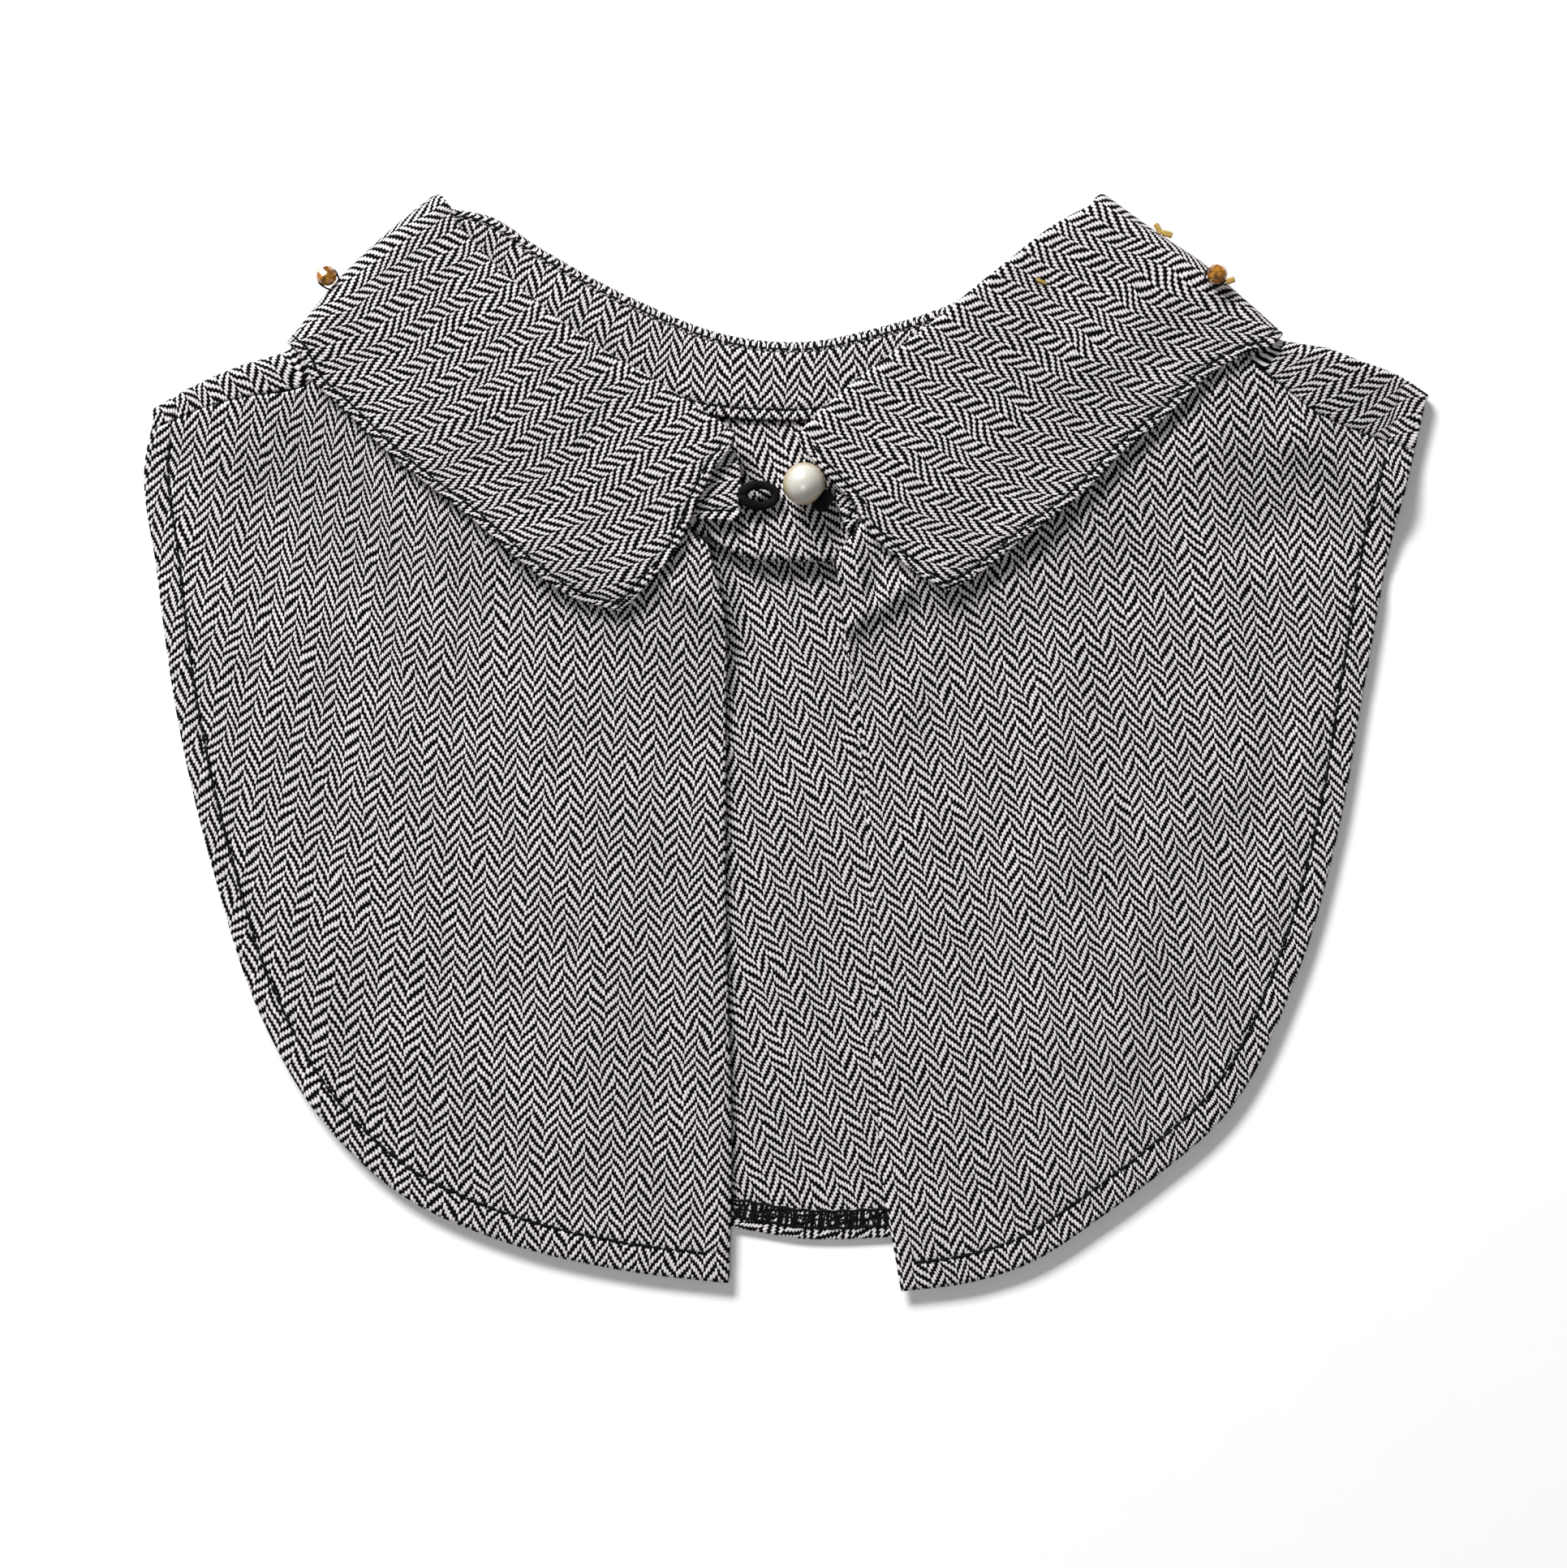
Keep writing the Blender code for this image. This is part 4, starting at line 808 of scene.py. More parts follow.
def quads(rows, columns, first=0):
    """The faces of a grid of points, each a square of four neighbours."""
    i, j = np.meshgrid(np.arange(rows - 1), np.arange(columns - 1), indexing="ij")
    corner_of = (first + i * columns + j).ravel()
    square = [corner_of, corner_of + columns, corner_of + columns + 1, corner_of + 1]
    return np.stack(square, axis=1)


def round_quads(rows, turns):
    """The faces round a tube of so many rings, with so many points on each."""
    i, j = np.meshgrid(np.arange(rows - 1), np.arange(turns), indexing="ij")
    here, after = i * turns + j, i * turns + (j + 1) % turns
    return np.stack([here, here + turns, after + turns, after], axis=-1).reshape(-1, 4)


def wall(name, grid, uv, thick, finish):
    """A closed wall of cloth: the grid moved out by half its thickness each way, and a round rim."""
    rows, columns = grid.shape[:2]
    count = rows * columns
    thick = np.broadcast_to(thick, grid.shape[:2])[..., None]
    side = normals(grid) * thick / 2
    ids = np.arange(count).reshape(rows, columns)
    ring = np.concatenate([ids[:-1, 0], ids[-1, :-1], ids[:0:-1, -1], ids[0, :0:-1]])
    inner = ids[1:-1, 1:-1]
    inward = np.pad(inner, 1, mode="edge")
    inward = np.concatenate([inward[:-1, 0], inward[-1, :-1], inward[:0:-1, -1], inward[0, :0:-1]])
    flat = grid.reshape(-1, 3)
    out = unit(flat[ring] - flat[inward]) * thick.reshape(-1, 1)[ring] * 0.3
    points = np.vstack([(grid + side).reshape(-1, 3), (grid - side).reshape(-1, 3), flat[ring] + out])
    top = quads(rows, columns)
    after = np.roll(ring, -1)
    rim = 2 * count + np.arange(len(ring))
    rim_after = np.roll(rim, -1)
    upper = np.stack([ring, rim, rim_after, after], axis=1)
    lower = np.stack([rim, ring + count, after + count, rim_after], axis=1)
    faces = np.vstack([top, top[:, ::-1] + count, upper, lower])
    plain = uv.reshape(-1, 2)
    return mesh_object(name, points, [faces], finish, np.vstack([plain, plain, plain[ring]]))


def leaning(plan, lean):
    """Weave map of a flat piece whose columns lean, more or less with their distance from X = 0.

    A column that crosses Y = LEAN_LEVEL at x0 is the straight line that leans by lean(x0). The map
    is x0 across the columns, and the distance along the column.
    """
    x, y = plan[..., 0], plan[..., 1] - LEAN_LEVEL
    across = x
    for _ in range(6):
        share = 1 - fade(np.abs(across), lean["from"], lean["to"])
        angle = np.radians(lean["near"] + (lean["far"] - lean["near"]) * share)
        across = x - y * np.tan(angle)
    return np.stack([across * np.cos(angle), y / np.cos(angle) + across * np.sin(angle)], axis=-1)


def turned_plan(plan, degrees):
    """Weave map of a flat piece whose columns run at one angle from the right."""
    angle = np.radians(degrees)
    along = plan[..., 0] * np.cos(angle) + plan[..., 1] * np.sin(angle)
    across = plan[..., 0] * np.sin(angle) - plan[..., 1] * np.cos(angle)
    return np.stack([across, along], axis=-1)


def strip_map(grid, across, along, middle):
    """Weave map of a strip round the neck.

    Its middle line is laid out step by step with the directions across and along the columns at
    each row, and each row is a straight line from it, at the angle that it has to them.
    """
    line = grid[:, middle]
    step = np.diff(line, axis=0)
    u = np.concatenate([[0.0], np.cumsum((step * (across[1:] + across[:-1]) / 2).sum(-1))])
    v = np.concatenate([[0.0], np.cumsum((step * (along[1:] + along[:-1]) / 2).sum(-1))])
    way = grid[:, -1] - line
    slant = unit(np.stack([(way * across).sum(-1), (way * along).sum(-1)], axis=-1))
    reach = lengths(grid)
    reach = reach - reach[:, middle:middle + 1]
    return np.stack([u, v], axis=-1)[:, None] + reach[..., None] * slant[:, None]


def carried_map(grid, across, along, middle):
    """Weave map of the fall, which keeps its scale where the strip turns over at the neck.

    At both ends it is that of strip_map. From each end every point moves by its own steps along
    the strip, and the two maps that this gives are mixed along the back.
    """
    ends = strip_map(grid, across, along, middle)
    step = np.diff(grid, axis=0)
    ways = [(way[1:] + way[:-1])[:, None] / 2 for way in (across, along)]
    moved = np.cumsum(np.stack([(step * way).sum(-1) for way in ways], axis=-1), axis=0)
    moved = np.concatenate([np.zeros_like(moved[:1]), moved])
    side = len(LEAF_SECTIONS) + len(TURN_ANGLES)
    share = np.concatenate([np.zeros(side), 1 - fade(BACK_SHARES, 0, 1), np.ones(side)])[:, None, None]
    return (ends[:1] + moved) * (1 - share) + (ends[-1:] + moved - moved[-1:]) * share


def plan_ways(degrees, flipped=False):
    """Directions across and along the columns on a flat piece, seen from its right side or flipped."""
    angle = np.radians(np.atleast_1d(degrees))
    none = np.zeros_like(angle)
    along = np.stack([np.cos(angle), np.sin(angle), none], axis=-1)
    across = np.stack([np.sin(angle), -np.cos(angle), none], axis=-1)
    return (-across if flipped else across), along


def round_ways(side, degrees):
    """The same directions carried round the turn at one side of the neck, from above to below."""
    at = corner(side)
    axis = np.array([*at["along"], 0.0])
    out = np.array([*at["outward"], 0.0])
    turn = np.radians(90 - TURN_ANGLES)[:, None]
    down = out * np.cos(turn) - np.array([0.0, 0.0, 1.0]) * np.sin(turn)
    return [(way[0] @ axis) * axis + (way[0] @ out) * down for way in plan_ways(degrees)]


def turned_over(side, degrees):
    """The angle of a piece's columns after it has turned over at one side of the neck."""
    axis = np.degrees(np.arctan2(*corner(side)["along"][::-1]))
    return (2 * axis - degrees) % 180


def neck_ways(leaf_left, leaf_right, back_degrees):
    """Directions across and along the columns for every row of a strip round the neck."""
    count = len(LEAF_SECTIONS)
    parts = [
        [np.repeat(way, count, axis=0) for way in plan_ways(leaf_left)],
        round_ways("left", leaf_left),
        plan_ways(back_degrees, flipped=True),
        [way[::-1] for way in round_ways("right", leaf_right)],
        [np.repeat(way, count, axis=0) for way in plan_ways(leaf_right)],
    ]
    return [np.concatenate([part[k] for part in parts]) for k in (0, 1)]


@lru_cache
def neck_strips():
    """The two grids round the neck, at fine steps: the fall and the stand."""
    around = [leaf_rows("left"), turn_rows("left"), back_rows()]
    around += [[rows[::-1] for rows in made] for made in (turn_rows("right"), leaf_rows("right"))]
    falls, stands = zip(*around)
    return np.concatenate(falls), np.concatenate(stands)


@lru_cache
def front_grid(side):
    """The grid of one front, with its creases."""
    neck, outline, seam, opening = FRONTS[side]
    t = np.linspace(0, 1, 161)
    by_hem = np.linspace(0.9, 0.975, 34)  # closer where the hem's stitches are
    s = np.concatenate([np.linspace(0, 0.9, 80)[:-1], by_hem[:-1], np.linspace(0.975, 1, 5)])
    plan = patch(smooth(neck, t), smooth(outline, t), smooth(seam, s), smooth(opening, s), t, s)
    plan[0] = plan[0] + unit(plan[1] - plan[0]) * SEAM_EASE
    plan[:, 0] = plan[:, 0] + unit(plan[:, 1] - plan[:, 0]) * SEAM_EASE
    return raised(plan, creased(front_height, FRONT_CREASES))


@lru_cache
def back_grid():
    """The grid of the back panel and its plan rolled out flat, for the weave."""
    t = BACK_SHARES
    fine = np.linspace(0, 1, 120)
    starts, ends = shoulder("left", fine)["axis"], shoulder("right", fine)["axis"]
    far = meet(smooth(HEM_BACK, t), t, starts[-1], ends[-1])
    made = [back_section(section) for section in patch(back_seam(), far, starts, ends, t, fine)]
    body = np.array([points for points, shares in made])
    body[..., 2] = body[..., 2] + ridge(UNDER_CREASES, body[..., 0], body[..., 1])
    path = lengths(body[:, ::-1])[:, ::-1]
    way = unit((body[:, 0] - body[:, -1])[:, :2])
    plain = ((body[..., :2] - body[:, -1:, :2]) * way[:, None]).sum(-1)
    rolled = body[..., :2] + (path - plain)[..., None] * way[:, None]
    sheets, plans = [body], [rolled]
    for side, shares, row in (("left", made[0][1], rolled[0]), ("right", made[-1][1], rolled[-1])):
        rows = np.array(over_shoulder(side, shares))
        turn = shoulder(side, shares)
        arc = lengths(np.concatenate([rows, body[[0] if side == "left" else [-1]]]).swapaxes(0, 1)).T
        arc = arc[-1:] - arc[:-1]
        flat = row[None] - turn["inward"][None] * arc[..., None]
        if side == "left":
            sheets.insert(0, rows)
            plans.insert(0, flat)
        else:
            sheets.append(rows[::-1])
            plans.append(flat[::-1])
    return np.concatenate(sheets), np.concatenate(plans)


def inset_line(grid, edge, distance):
    """The line on a grid that keeps a distance from one of its edges, and the normals along it."""
    side = normals(grid)
    if edge in ("first_row", "last_row"):
        grid, side = grid.swapaxes(0, 1), side.swapaxes(0, 1)
    if edge in ("last_row", "last_column"):
        grid, side = grid[:, ::-1], side[:, ::-1]
    reach = lengths(grid)
    k = np.clip((reach >= distance).argmax(axis=1), 1, grid.shape[1] - 1)
    rows = np.arange(len(grid))
    share = (distance - reach[rows, k - 1]) / (reach[rows, k] - reach[rows, k - 1])
    share = share[:, None]
    line = grid[rows, k - 1] * (1 - share) + grid[rows, k] * share
    return line, unit(side[rows, k - 1] * (1 - share) + side[rows, k] * share)


def stitches(line, side, lift, length, pitch, width):
    """A row of stitches along a line on the cloth.

    Each is a short thread that rises from the cloth in half a sine wave and is thinnest at its two
    ends. Its sections are ellipses. They are repeated every pitch along the line.
    """
    reach = reach_of(line)
    count = max(int(reach[-1] / pitch), 1)
    starts = (np.arange(count) + 0.08) * reach[-1] / count
    share = np.linspace(0, 1, STITCH_TURNS)
    at = starts[:, None] + share[None] * length
    centre, out = places_on(line, reach, at), unit(places_on(side, reach, at))
    ahead = unit(np.gradient(centre, axis=1))
    beside = np.cross(out, ahead)
    rise = np.sin(np.pi * share)
    thin = (0.35 + 0.65 * np.sqrt(np.maximum(rise, 0.0)))[None, :, None]
    centre = centre + out * (lift * (0.6 + 0.4 * rise))[None, :, None]
    turns = np.arange(STITCH_TURNS) / STITCH_TURNS * 2 * np.pi
    ring = (
        beside[:, :, None] * np.cos(turns)[None, None, :, None] * width / 2
        + out[:, :, None] * np.sin(turns)[None, None, :, None] * width * 0.36
    )
    points = (centre[:, :, None] + ring * thin[..., None]).reshape(-1, 3)
    first = np.arange(count)[:, None, None] * STITCH_TURNS**2
    sides = (first + round_quads(STITCH_TURNS, STITCH_TURNS)[:, [0, 3, 2, 1]][None]).reshape(-1, 4)
    caps = np.array([[3, 2, 1, 0], [5, 4, 3, 0], [30, 31, 32, 33], [30, 33, 34, 35]])
    caps = (first + caps[None]).reshape(-1, 4)
    return points, [np.vstack([sides, caps])]


def joined(parts):
    """Several sets of points and faces as one."""
    firsts = np.cumsum([0] + [len(points) for points, faces in parts])
    faces = [some + first for first, (points, arrays) in zip(firsts, parts) for some in arrays]
    return np.vstack([points for points, arrays in parts]), faces


def tube(path, radii, turns, up=(0, 0, 1), squash=1.0):
    """A closed tube: an ellipse carried along a path, with its ends drawn together to a point."""
    path = np.asarray(path, float)
    ahead = unit(np.gradient(path, axis=0))
    beside = unit(np.cross(ahead, np.broadcast_to(np.array(up, float), path.shape)))
    out = np.cross(beside, ahead)
    angle = np.arange(turns) / turns * 2 * np.pi
    ring = (
        beside[:, None] * np.cos(angle)[None, :, None]
        + out[:, None] * np.sin(angle)[None, :, None] * squash
    )
    body = path[:, None] + ring * np.asarray(radii, float)[:, None, None]
    points = np.vstack([body.reshape(-1, 3), path[:1], path[-1:]])
    rows, around = len(path), np.arange(turns)
    beyond, far = np.roll(around, -1), (rows - 1) * turns
    near_tip, far_tip = np.full(turns, rows * turns), np.full(turns, rows * turns + 1)
    start = np.stack([around, beyond, near_tip], axis=-1)
    end = np.stack([beyond + far, around + far, far_tip], axis=-1)
    return points, [round_quads(rows, turns), np.vstack([start, end])]


def round_node(node):
    """Middle and radius of a round CAD node, in the plan's millimetres."""
    low, high = (np.array(end) * 1000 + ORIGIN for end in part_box(node))
    return (low + high) / 2, float((high - low)[0]) / 2


def pearl_shape(share):
    """How much wider than a ball the pearl is, at a share of the way to its shank."""
    return 1 + 0.02 * np.sin(5 * share) - 0.3 * np.maximum(share - 0.62, 0) ** 2


def ball(centre, radius, axis, rows, turns, shape=lambda share: 1.0):
    """A closed round bead: circles carried along an axis, of the radius that a ball has there.

    shape changes the radius with the share of the way along the axis.
    """
    share = np.linspace(0.035, 0.965, rows)
    way = unit(np.asarray(axis, float))
    height = -np.cos(np.pi * share) * radius
    path = np.asarray(centre, float) + way * height[:, None]
    radii = np.sin(np.pi * share) * radius * shape(share)
    up = (1.0, 0.0, 0.0) if abs(way[2]) > 0.9 else (0.0, 0.0, 1.0)
    return tube(path, radii, turns, up)


def add(tree, kind, inputs=None, **settings):
    """A node of a material, with its settings, and with its inputs set or linked by name or place."""
    made = tree.nodes.new("ShaderNode" + kind)
    for name, value in settings.items():
        setattr(made, name, value)
    for key, value in (inputs or {}).items():
        if isinstance(value, bpy.types.NodeSocket):
            tree.links.new(value, made.inputs[key])
        else:
            made.inputs[key].default_value = value
    return made


def sum_of(tree, operation, *terms):
    """A sum of the shader, by its operation's name."""
    return add(tree, "Math", dict(enumerate(terms)), operation=operation).outputs[0]


def colour_mix(tree, share, first, second, blend="MIX"):
    """Two colours mixed by a share."""
    made = add(tree, "Mix", data_type="RGBA", blend_type=blend)
    for place_in, value in ((0, share), (6, first), (7, second)):
        if isinstance(value, bpy.types.NodeSocket):
            tree.links.new(value, made.inputs[place_in])
        else:
            made.inputs[place_in].default_value = value
    return made.outputs[2]


def shader_of(name, roughness, metallic=0.0, **inputs):
    """A new material, its tree and its surface shader, with the numbers that are the same all over."""
    made = bpy.data.materials.new(name)
    made.use_nodes = True
    shader = made.node_tree.nodes["Principled BSDF"]
    shader.inputs["Roughness"].default_value = roughness
    shader.inputs["Metallic"].default_value = metallic
    for key, value in inputs.items():
        shader.inputs[key.replace("_", " ")].default_value = value
    return made, made.node_tree, shader


def herringbone(cloth):
    """Woven cloth: a two and two twill that turns back every few ends.

    The weave map gives millimetres across the ends (the light yarns, along the columns) and across
    the picks (the dark ones). An end is on top where (way * end + pick + step) mod 4 is less than 2;
    way is 1 or -1 and changes every six ends, and step shifts the back-turned columns by one pick,
    which cuts the lines at the turn. Each yarn is rounded across and dips at the ends of its float.
    """
    made, tree, shader = shader_of("herringbone_cloth", 0.95, Specular_IOR_Level=0.03, Sheen_Weight=0.01)
    place_on = add(tree, "UVMap", uv_map="cloth").outputs[0]
    moved = place_on
    for scale, detail, reach in WANDER:
        noise = add(tree, "TexNoise", {"Vector": place_on, "Scale": scale, "Detail": detail}).outputs[1]
        off = add(tree, "VectorMath", {0: noise, 1: (0.5, 0.5, 0.5)}, operation="SUBTRACT").outputs[0]
        terms = {0: off, 1: (reach, reach, 0.0), 2: moved}
        moved = add(tree, "VectorMath", terms, operation="MULTIPLY_ADD").outputs[0]
    parts = add(tree, "SeparateXYZ", {0: moved}).outputs
    ends = sum_of(tree, "DIVIDE", parts[0], cloth.end_spacing * 1000)
    picks = sum_of(tree, "DIVIDE", parts[1], cloth.pick_spacing * 1000)
    end, pick = sum_of(tree, "FLOOR", ends), sum_of(tree, "FLOOR", picks)
    in_end, in_pick = sum_of(tree, "SUBTRACT", ends, end), sum_of(tree, "SUBTRACT", picks, pick)
    column = sum_of(tree, "FLOOR", sum_of(tree, "DIVIDE", end, float(cloth.column_ends)))
    odd = sum_of(tree, "FLOORED_MODULO", column, 2.0)
    way = sum_of(tree, "MULTIPLY_ADD", odd, -2.0, 1.0)
    order = sum_of(tree, "ADD", sum_of(tree, "MULTIPLY_ADD", way, end, pick), odd)
    place_in = sum_of(tree, "FLOORED_MODULO", order, 4.0)
    on_top = sum_of(tree, "LESS_THAN", place_in, 1.5)

    def rounded(share, power):
        """Height over a yarn: one in the middle and nothing at its sides, flatter for a high power."""
        off = sum_of(tree, "ABSOLUTE", sum_of(tree, "MULTIPLY_ADD", share, 2.0, -1.0))
        return sum_of(tree, "SUBTRACT", 1.0, sum_of(tree, "POWER", off, power))

    along_end = sum_of(tree, "MULTIPLY", sum_of(tree, "ADD", place_in, in_pick), 0.5)
    float_place = sum_of(tree, "MULTIPLY_ADD", way, sum_of(tree, "SUBTRACT", place_in, 2.5), 0.5)
    along_pick = sum_of(tree, "MULTIPLY", sum_of(tree, "ADD", float_place, in_end), 0.5)
    end_height = sum_of(tree, "MULTIPLY", rounded(in_end, 2.4), rounded(along_end, 4.0))
    pick_height = sum_of(tree, "MULTIPLY", rounded(in_pick, 2.4), rounded(along_pick, 4.0))
    height = add(tree, "Mix", {0: on_top, 2: pick_height, 3: end_height}).outputs[0]

    own = add(tree, "TexWhiteNoise", {"W": end}, noise_dimensions="1D").outputs[0]
    fleck_at = add(tree, "CombineXYZ", {0: ends, 1: sum_of(tree, "MULTIPLY", picks, 0.3)}).outputs[0]
    fleck = add(tree, "TexNoise", {"Vector": fleck_at, "Scale": 0.9, "Detail": 2.0}).outputs[0]
    patchy = add(tree, "TexNoise", {"Vector": place_on, "Scale": 0.045, "Detail": 2.0}).outputs[0]
    tone = sum_of(tree, "MULTIPLY_ADD", fleck, 0.5, sum_of(tree, "MULTIPLY_ADD", own, 0.12, 0.64))
    tone = sum_of(tree, "MULTIPLY", tone, sum_of(tree, "MULTIPLY_ADD", patchy, 0.3, 0.87))
    light = colour_mix(tree, 1.0, (*cloth.light_yarn, 1.0), tone, "MULTIPLY")
    dark = colour_mix(
        tree, sum_of(tree, "MULTIPLY", fleck, 0.35), (*cloth.dark_yarn, 1.0), (*cloth.brown_yarn, 1.0)
    )
    yarn = colour_mix(tree, on_top, dark, light)
    # Painted shade: the yarn colour is darkened where a yarn dips at its sides and at the ends of its
    # float, standing for the shade between the yarns
    painted_weave_shade = sum_of(tree, "MULTIPLY_ADD", sum_of(tree, "POWER", height, 0.6), 0.72, 0.28)
    tree.links.new(colour_mix(tree, 1.0, yarn, painted_weave_shade, "MULTIPLY"), shader.inputs["Base Color"])
    bump = add(tree, "Bump", {"Height": height, "Strength": 0.55, "Distance": 0.00012})
    tree.links.new(bump.outputs[0], shader.inputs["Normal"])
    return made


def thread(name, colour, roughness, scale):
    """Sewing thread or braid: its colour a little uneven, with fine slanting ridges."""
    made, tree, shader = shader_of(name, roughness, Specular_IOR_Level=0.08)
    where = add(tree, "TexCoord").outputs["Object"]
    ridges = add(
        tree, "TexWave", {"Vector": where, "Scale": scale, "Distortion": 3.0, "Detail": 2.0},
        bands_direction="DIAGONAL",
    ).outputs[1]
    spots = add(tree, "TexNoise", {"Vector": where, "Scale": scale * 0.7, "Detail": 2.0}).outputs[0]
    pale = tuple(channel * 2.0 + 0.004 for channel in colour)
    mixed = colour_mix(tree, sum_of(tree, "MULTIPLY", spots, ridges), (*colour, 1.0), (*pale, 1.0))
    tree.links.new(mixed, shader.inputs["Base Color"])
    bump = add(tree, "Bump", {"Height": ridges, "Strength": 0.5, "Distance": 0.0001})
    tree.links.new(bump.outputs[0], shader.inputs["Normal"])
    return made


def nacre(trim, centre, radius):
    """Pearl: cream at the top, with painted shade and edge reflection that deepen it to gold beige down
    its sides, and faint clouds under a clear coat.
    """
    made, tree, shader = shader_of("pearl_nacre", 0.4, Coat_Weight=1.0, Coat_Roughness=0.3, Coat_IOR=1.8)
    where = add(tree, "TexCoord").outputs["Object"]
    low, high = (float(in_metres(centre + np.array([0, 0, way * radius]))[2]) for way in (-1, 1))
    height = add(tree, "SeparateXYZ", {0: where}).outputs[2]
    share = add(tree, "MapRange", {0: height, 1: low, 2: high, 3: 0.0, 4: 1.0}).outputs[0]
    clouds = add(tree, "TexNoise", {"Vector": where, "Scale": 420.0, "Detail": 2.0}).outputs[0]
    share = sum_of(tree, "ADD", share, sum_of(tree, "MULTIPLY_ADD", clouds, 0.24, -0.12))
    # Painted shade and edge reflection: by height, the colour goes from cream at the top to gold beige
    # lower down the sides
    ramp = add(tree, "ValToRGB", {0: share})
    ramp.color_ramp.elements[0].position = 0.62
    ramp.color_ramp.elements[0].color = (*trim.pearl_painted_sides, 1.0)
    ramp.color_ramp.elements[1].position = 0.88
    ramp.color_ramp.elements[1].color = (*trim.pearl, 1.0)
    tree.links.new(ramp.outputs[0], shader.inputs["Base Color"])
    return made


def glass(name, colour, inside, scale):
    """Cut glass: clear colour with darker and brighter flecks of what lines its hole, painted on as the
    reflections in its facets.
    """
    made, tree, shader = shader_of(name, 0.06, Transmission_Weight=0.35, IOR=1.52)
    shader.inputs["Coat Weight"].default_value = 1.0
    shader.inputs["Coat Roughness"].default_value = 0.04
    where = add(tree, "TexCoord").outputs["Object"]
    cells = add(tree, "TexVoronoi", {"Vector": where, "Scale": scale}).outputs[0]
    noise = add(tree, "TexNoise", {"Vector": where, "Scale": scale * 0.8, "Detail": 1.0}).outputs[0]
    # Painted reflection: patches of the lining colour and of the glass colour stand for the dark and
    # bright reflections in the facets
    share = sum_of(tree, "MULTIPLY_ADD", noise, 1.9, sum_of(tree, "MULTIPLY_ADD", cells, -0.5, -0.25))
    tree.links.new(
        colour_mix(tree, share, (*inside, 1.0), (*colour, 1.0)), shader.inputs["Base Color"]
    )
    return made


def floor_finish(colour):
    """Plain pale paper, with a very faint mottle."""
    made, tree, shader = shader_of("pale_floor", 0.95, Specular_IOR_Level=0.1)
    where = add(tree, "TexCoord").outputs["Object"]
    mottle = add(tree, "TexNoise", {"Vector": where, "Scale": 60.0, "Detail": 3.0}).outputs[0]
    paler = tuple(channel * 0.985 for channel in colour)
    tree.links.new(colour_mix(tree, mottle, (*colour, 1.0), (*paler, 1.0)), shader.inputs["Base Color"])
    return made


def shared(name, make):
    """A material by its name, made when it is first asked for."""
    return bpy.data.materials.get(name) or make()


def cloth_finish():
    """The woven cloth of every panel and strip."""
    return shared("herringbone_cloth", lambda: herringbone(bpy.context.scene.collar_cloth))


def thread_finish():
    """The black thread of the sewing, the shank and the beads."""
    colour = bpy.context.scene.collar_trim.thread
    return shared("black_sewing_thread", lambda: thread("black_sewing_thread", colour, 0.6, 900.0))


def strip_of(grid):
    """Width and length of a strip's cut: its longest section and its longest line round the neck."""
    return lengths(grid).max(), lengths(grid.swapaxes(0, 1)).max()


def turn_up():
    """The grid of the back's turned hem, which lies on the back from its hem inwards."""
    line = smooth(HEM_BACK, np.linspace(0.27, 0.77, 260))
    into = unit(turned(np.gradient(line, axis=0)))
    across = np.linspace(0.35, TURN_UP_WIDTH, 14)
    plan = line[:, None] + into[:, None] * across[None, :, None]
    rise = fade(across, 0.0, 1.2) * -0.12
    level = back_height(plan[..., 0], plan[..., 1]) + HALF + 0.06 + TURN_UP_WALL / 2
    return np.concatenate([plan, (level + rise)[..., None]], axis=-1)


def overlock(hem):
    """The overlock stitches over a turned hem's raw edge.

    One thread swings between the raw edge and a line inside it, as a cosine whose pace is uneven,
    and flat threads run along the edge and inside it with a small wave.
    """
    raw = inset_line(hem, "last_column", 0.1)[0]
    low = inset_line(hem, "last_column", OVERLOCK_WIDTH)[0]
    reach = reach_of(raw)
    at = np.linspace(0, reach[-1], OVERLOCK_STEPS)
    lift = np.array([0.0, 0.0, TURN_UP_WALL / 2 + 0.12])
    top, foot = places_on(raw, reach, at), places_on(low, reach, at)
    swing = at / OVERLOCK_PITCH + 0.28 * np.sin(at * 1.9) + 0.2 * np.sin(at * 0.83 + 1.0)
    share = ((0.5 + 0.5 * np.cos(2 * np.pi * swing)) ** 0.8)[:, None]
    wander = 0.25 * np.sin(at * 3.1)[:, None] * np.array([1.0, 0.0, 0.0])
    path = top * share + foot * (1 - share) + lift + wander
    threads = [tube(path, np.full(len(at), OVERLOCK_THREAD), 5)]
    for across, radius, wave in OVERLOCK_RUNS:
        line = top * (1 - across) + foot * across
        bob = np.array([0.0, 0.14, 0.0]) * np.sin(at * wave)[:, None]
        run = (line + lift + bob)[::5]
        threads.append(tube(run, np.full(len(run), radius), 5, squash=0.5))
    return threads


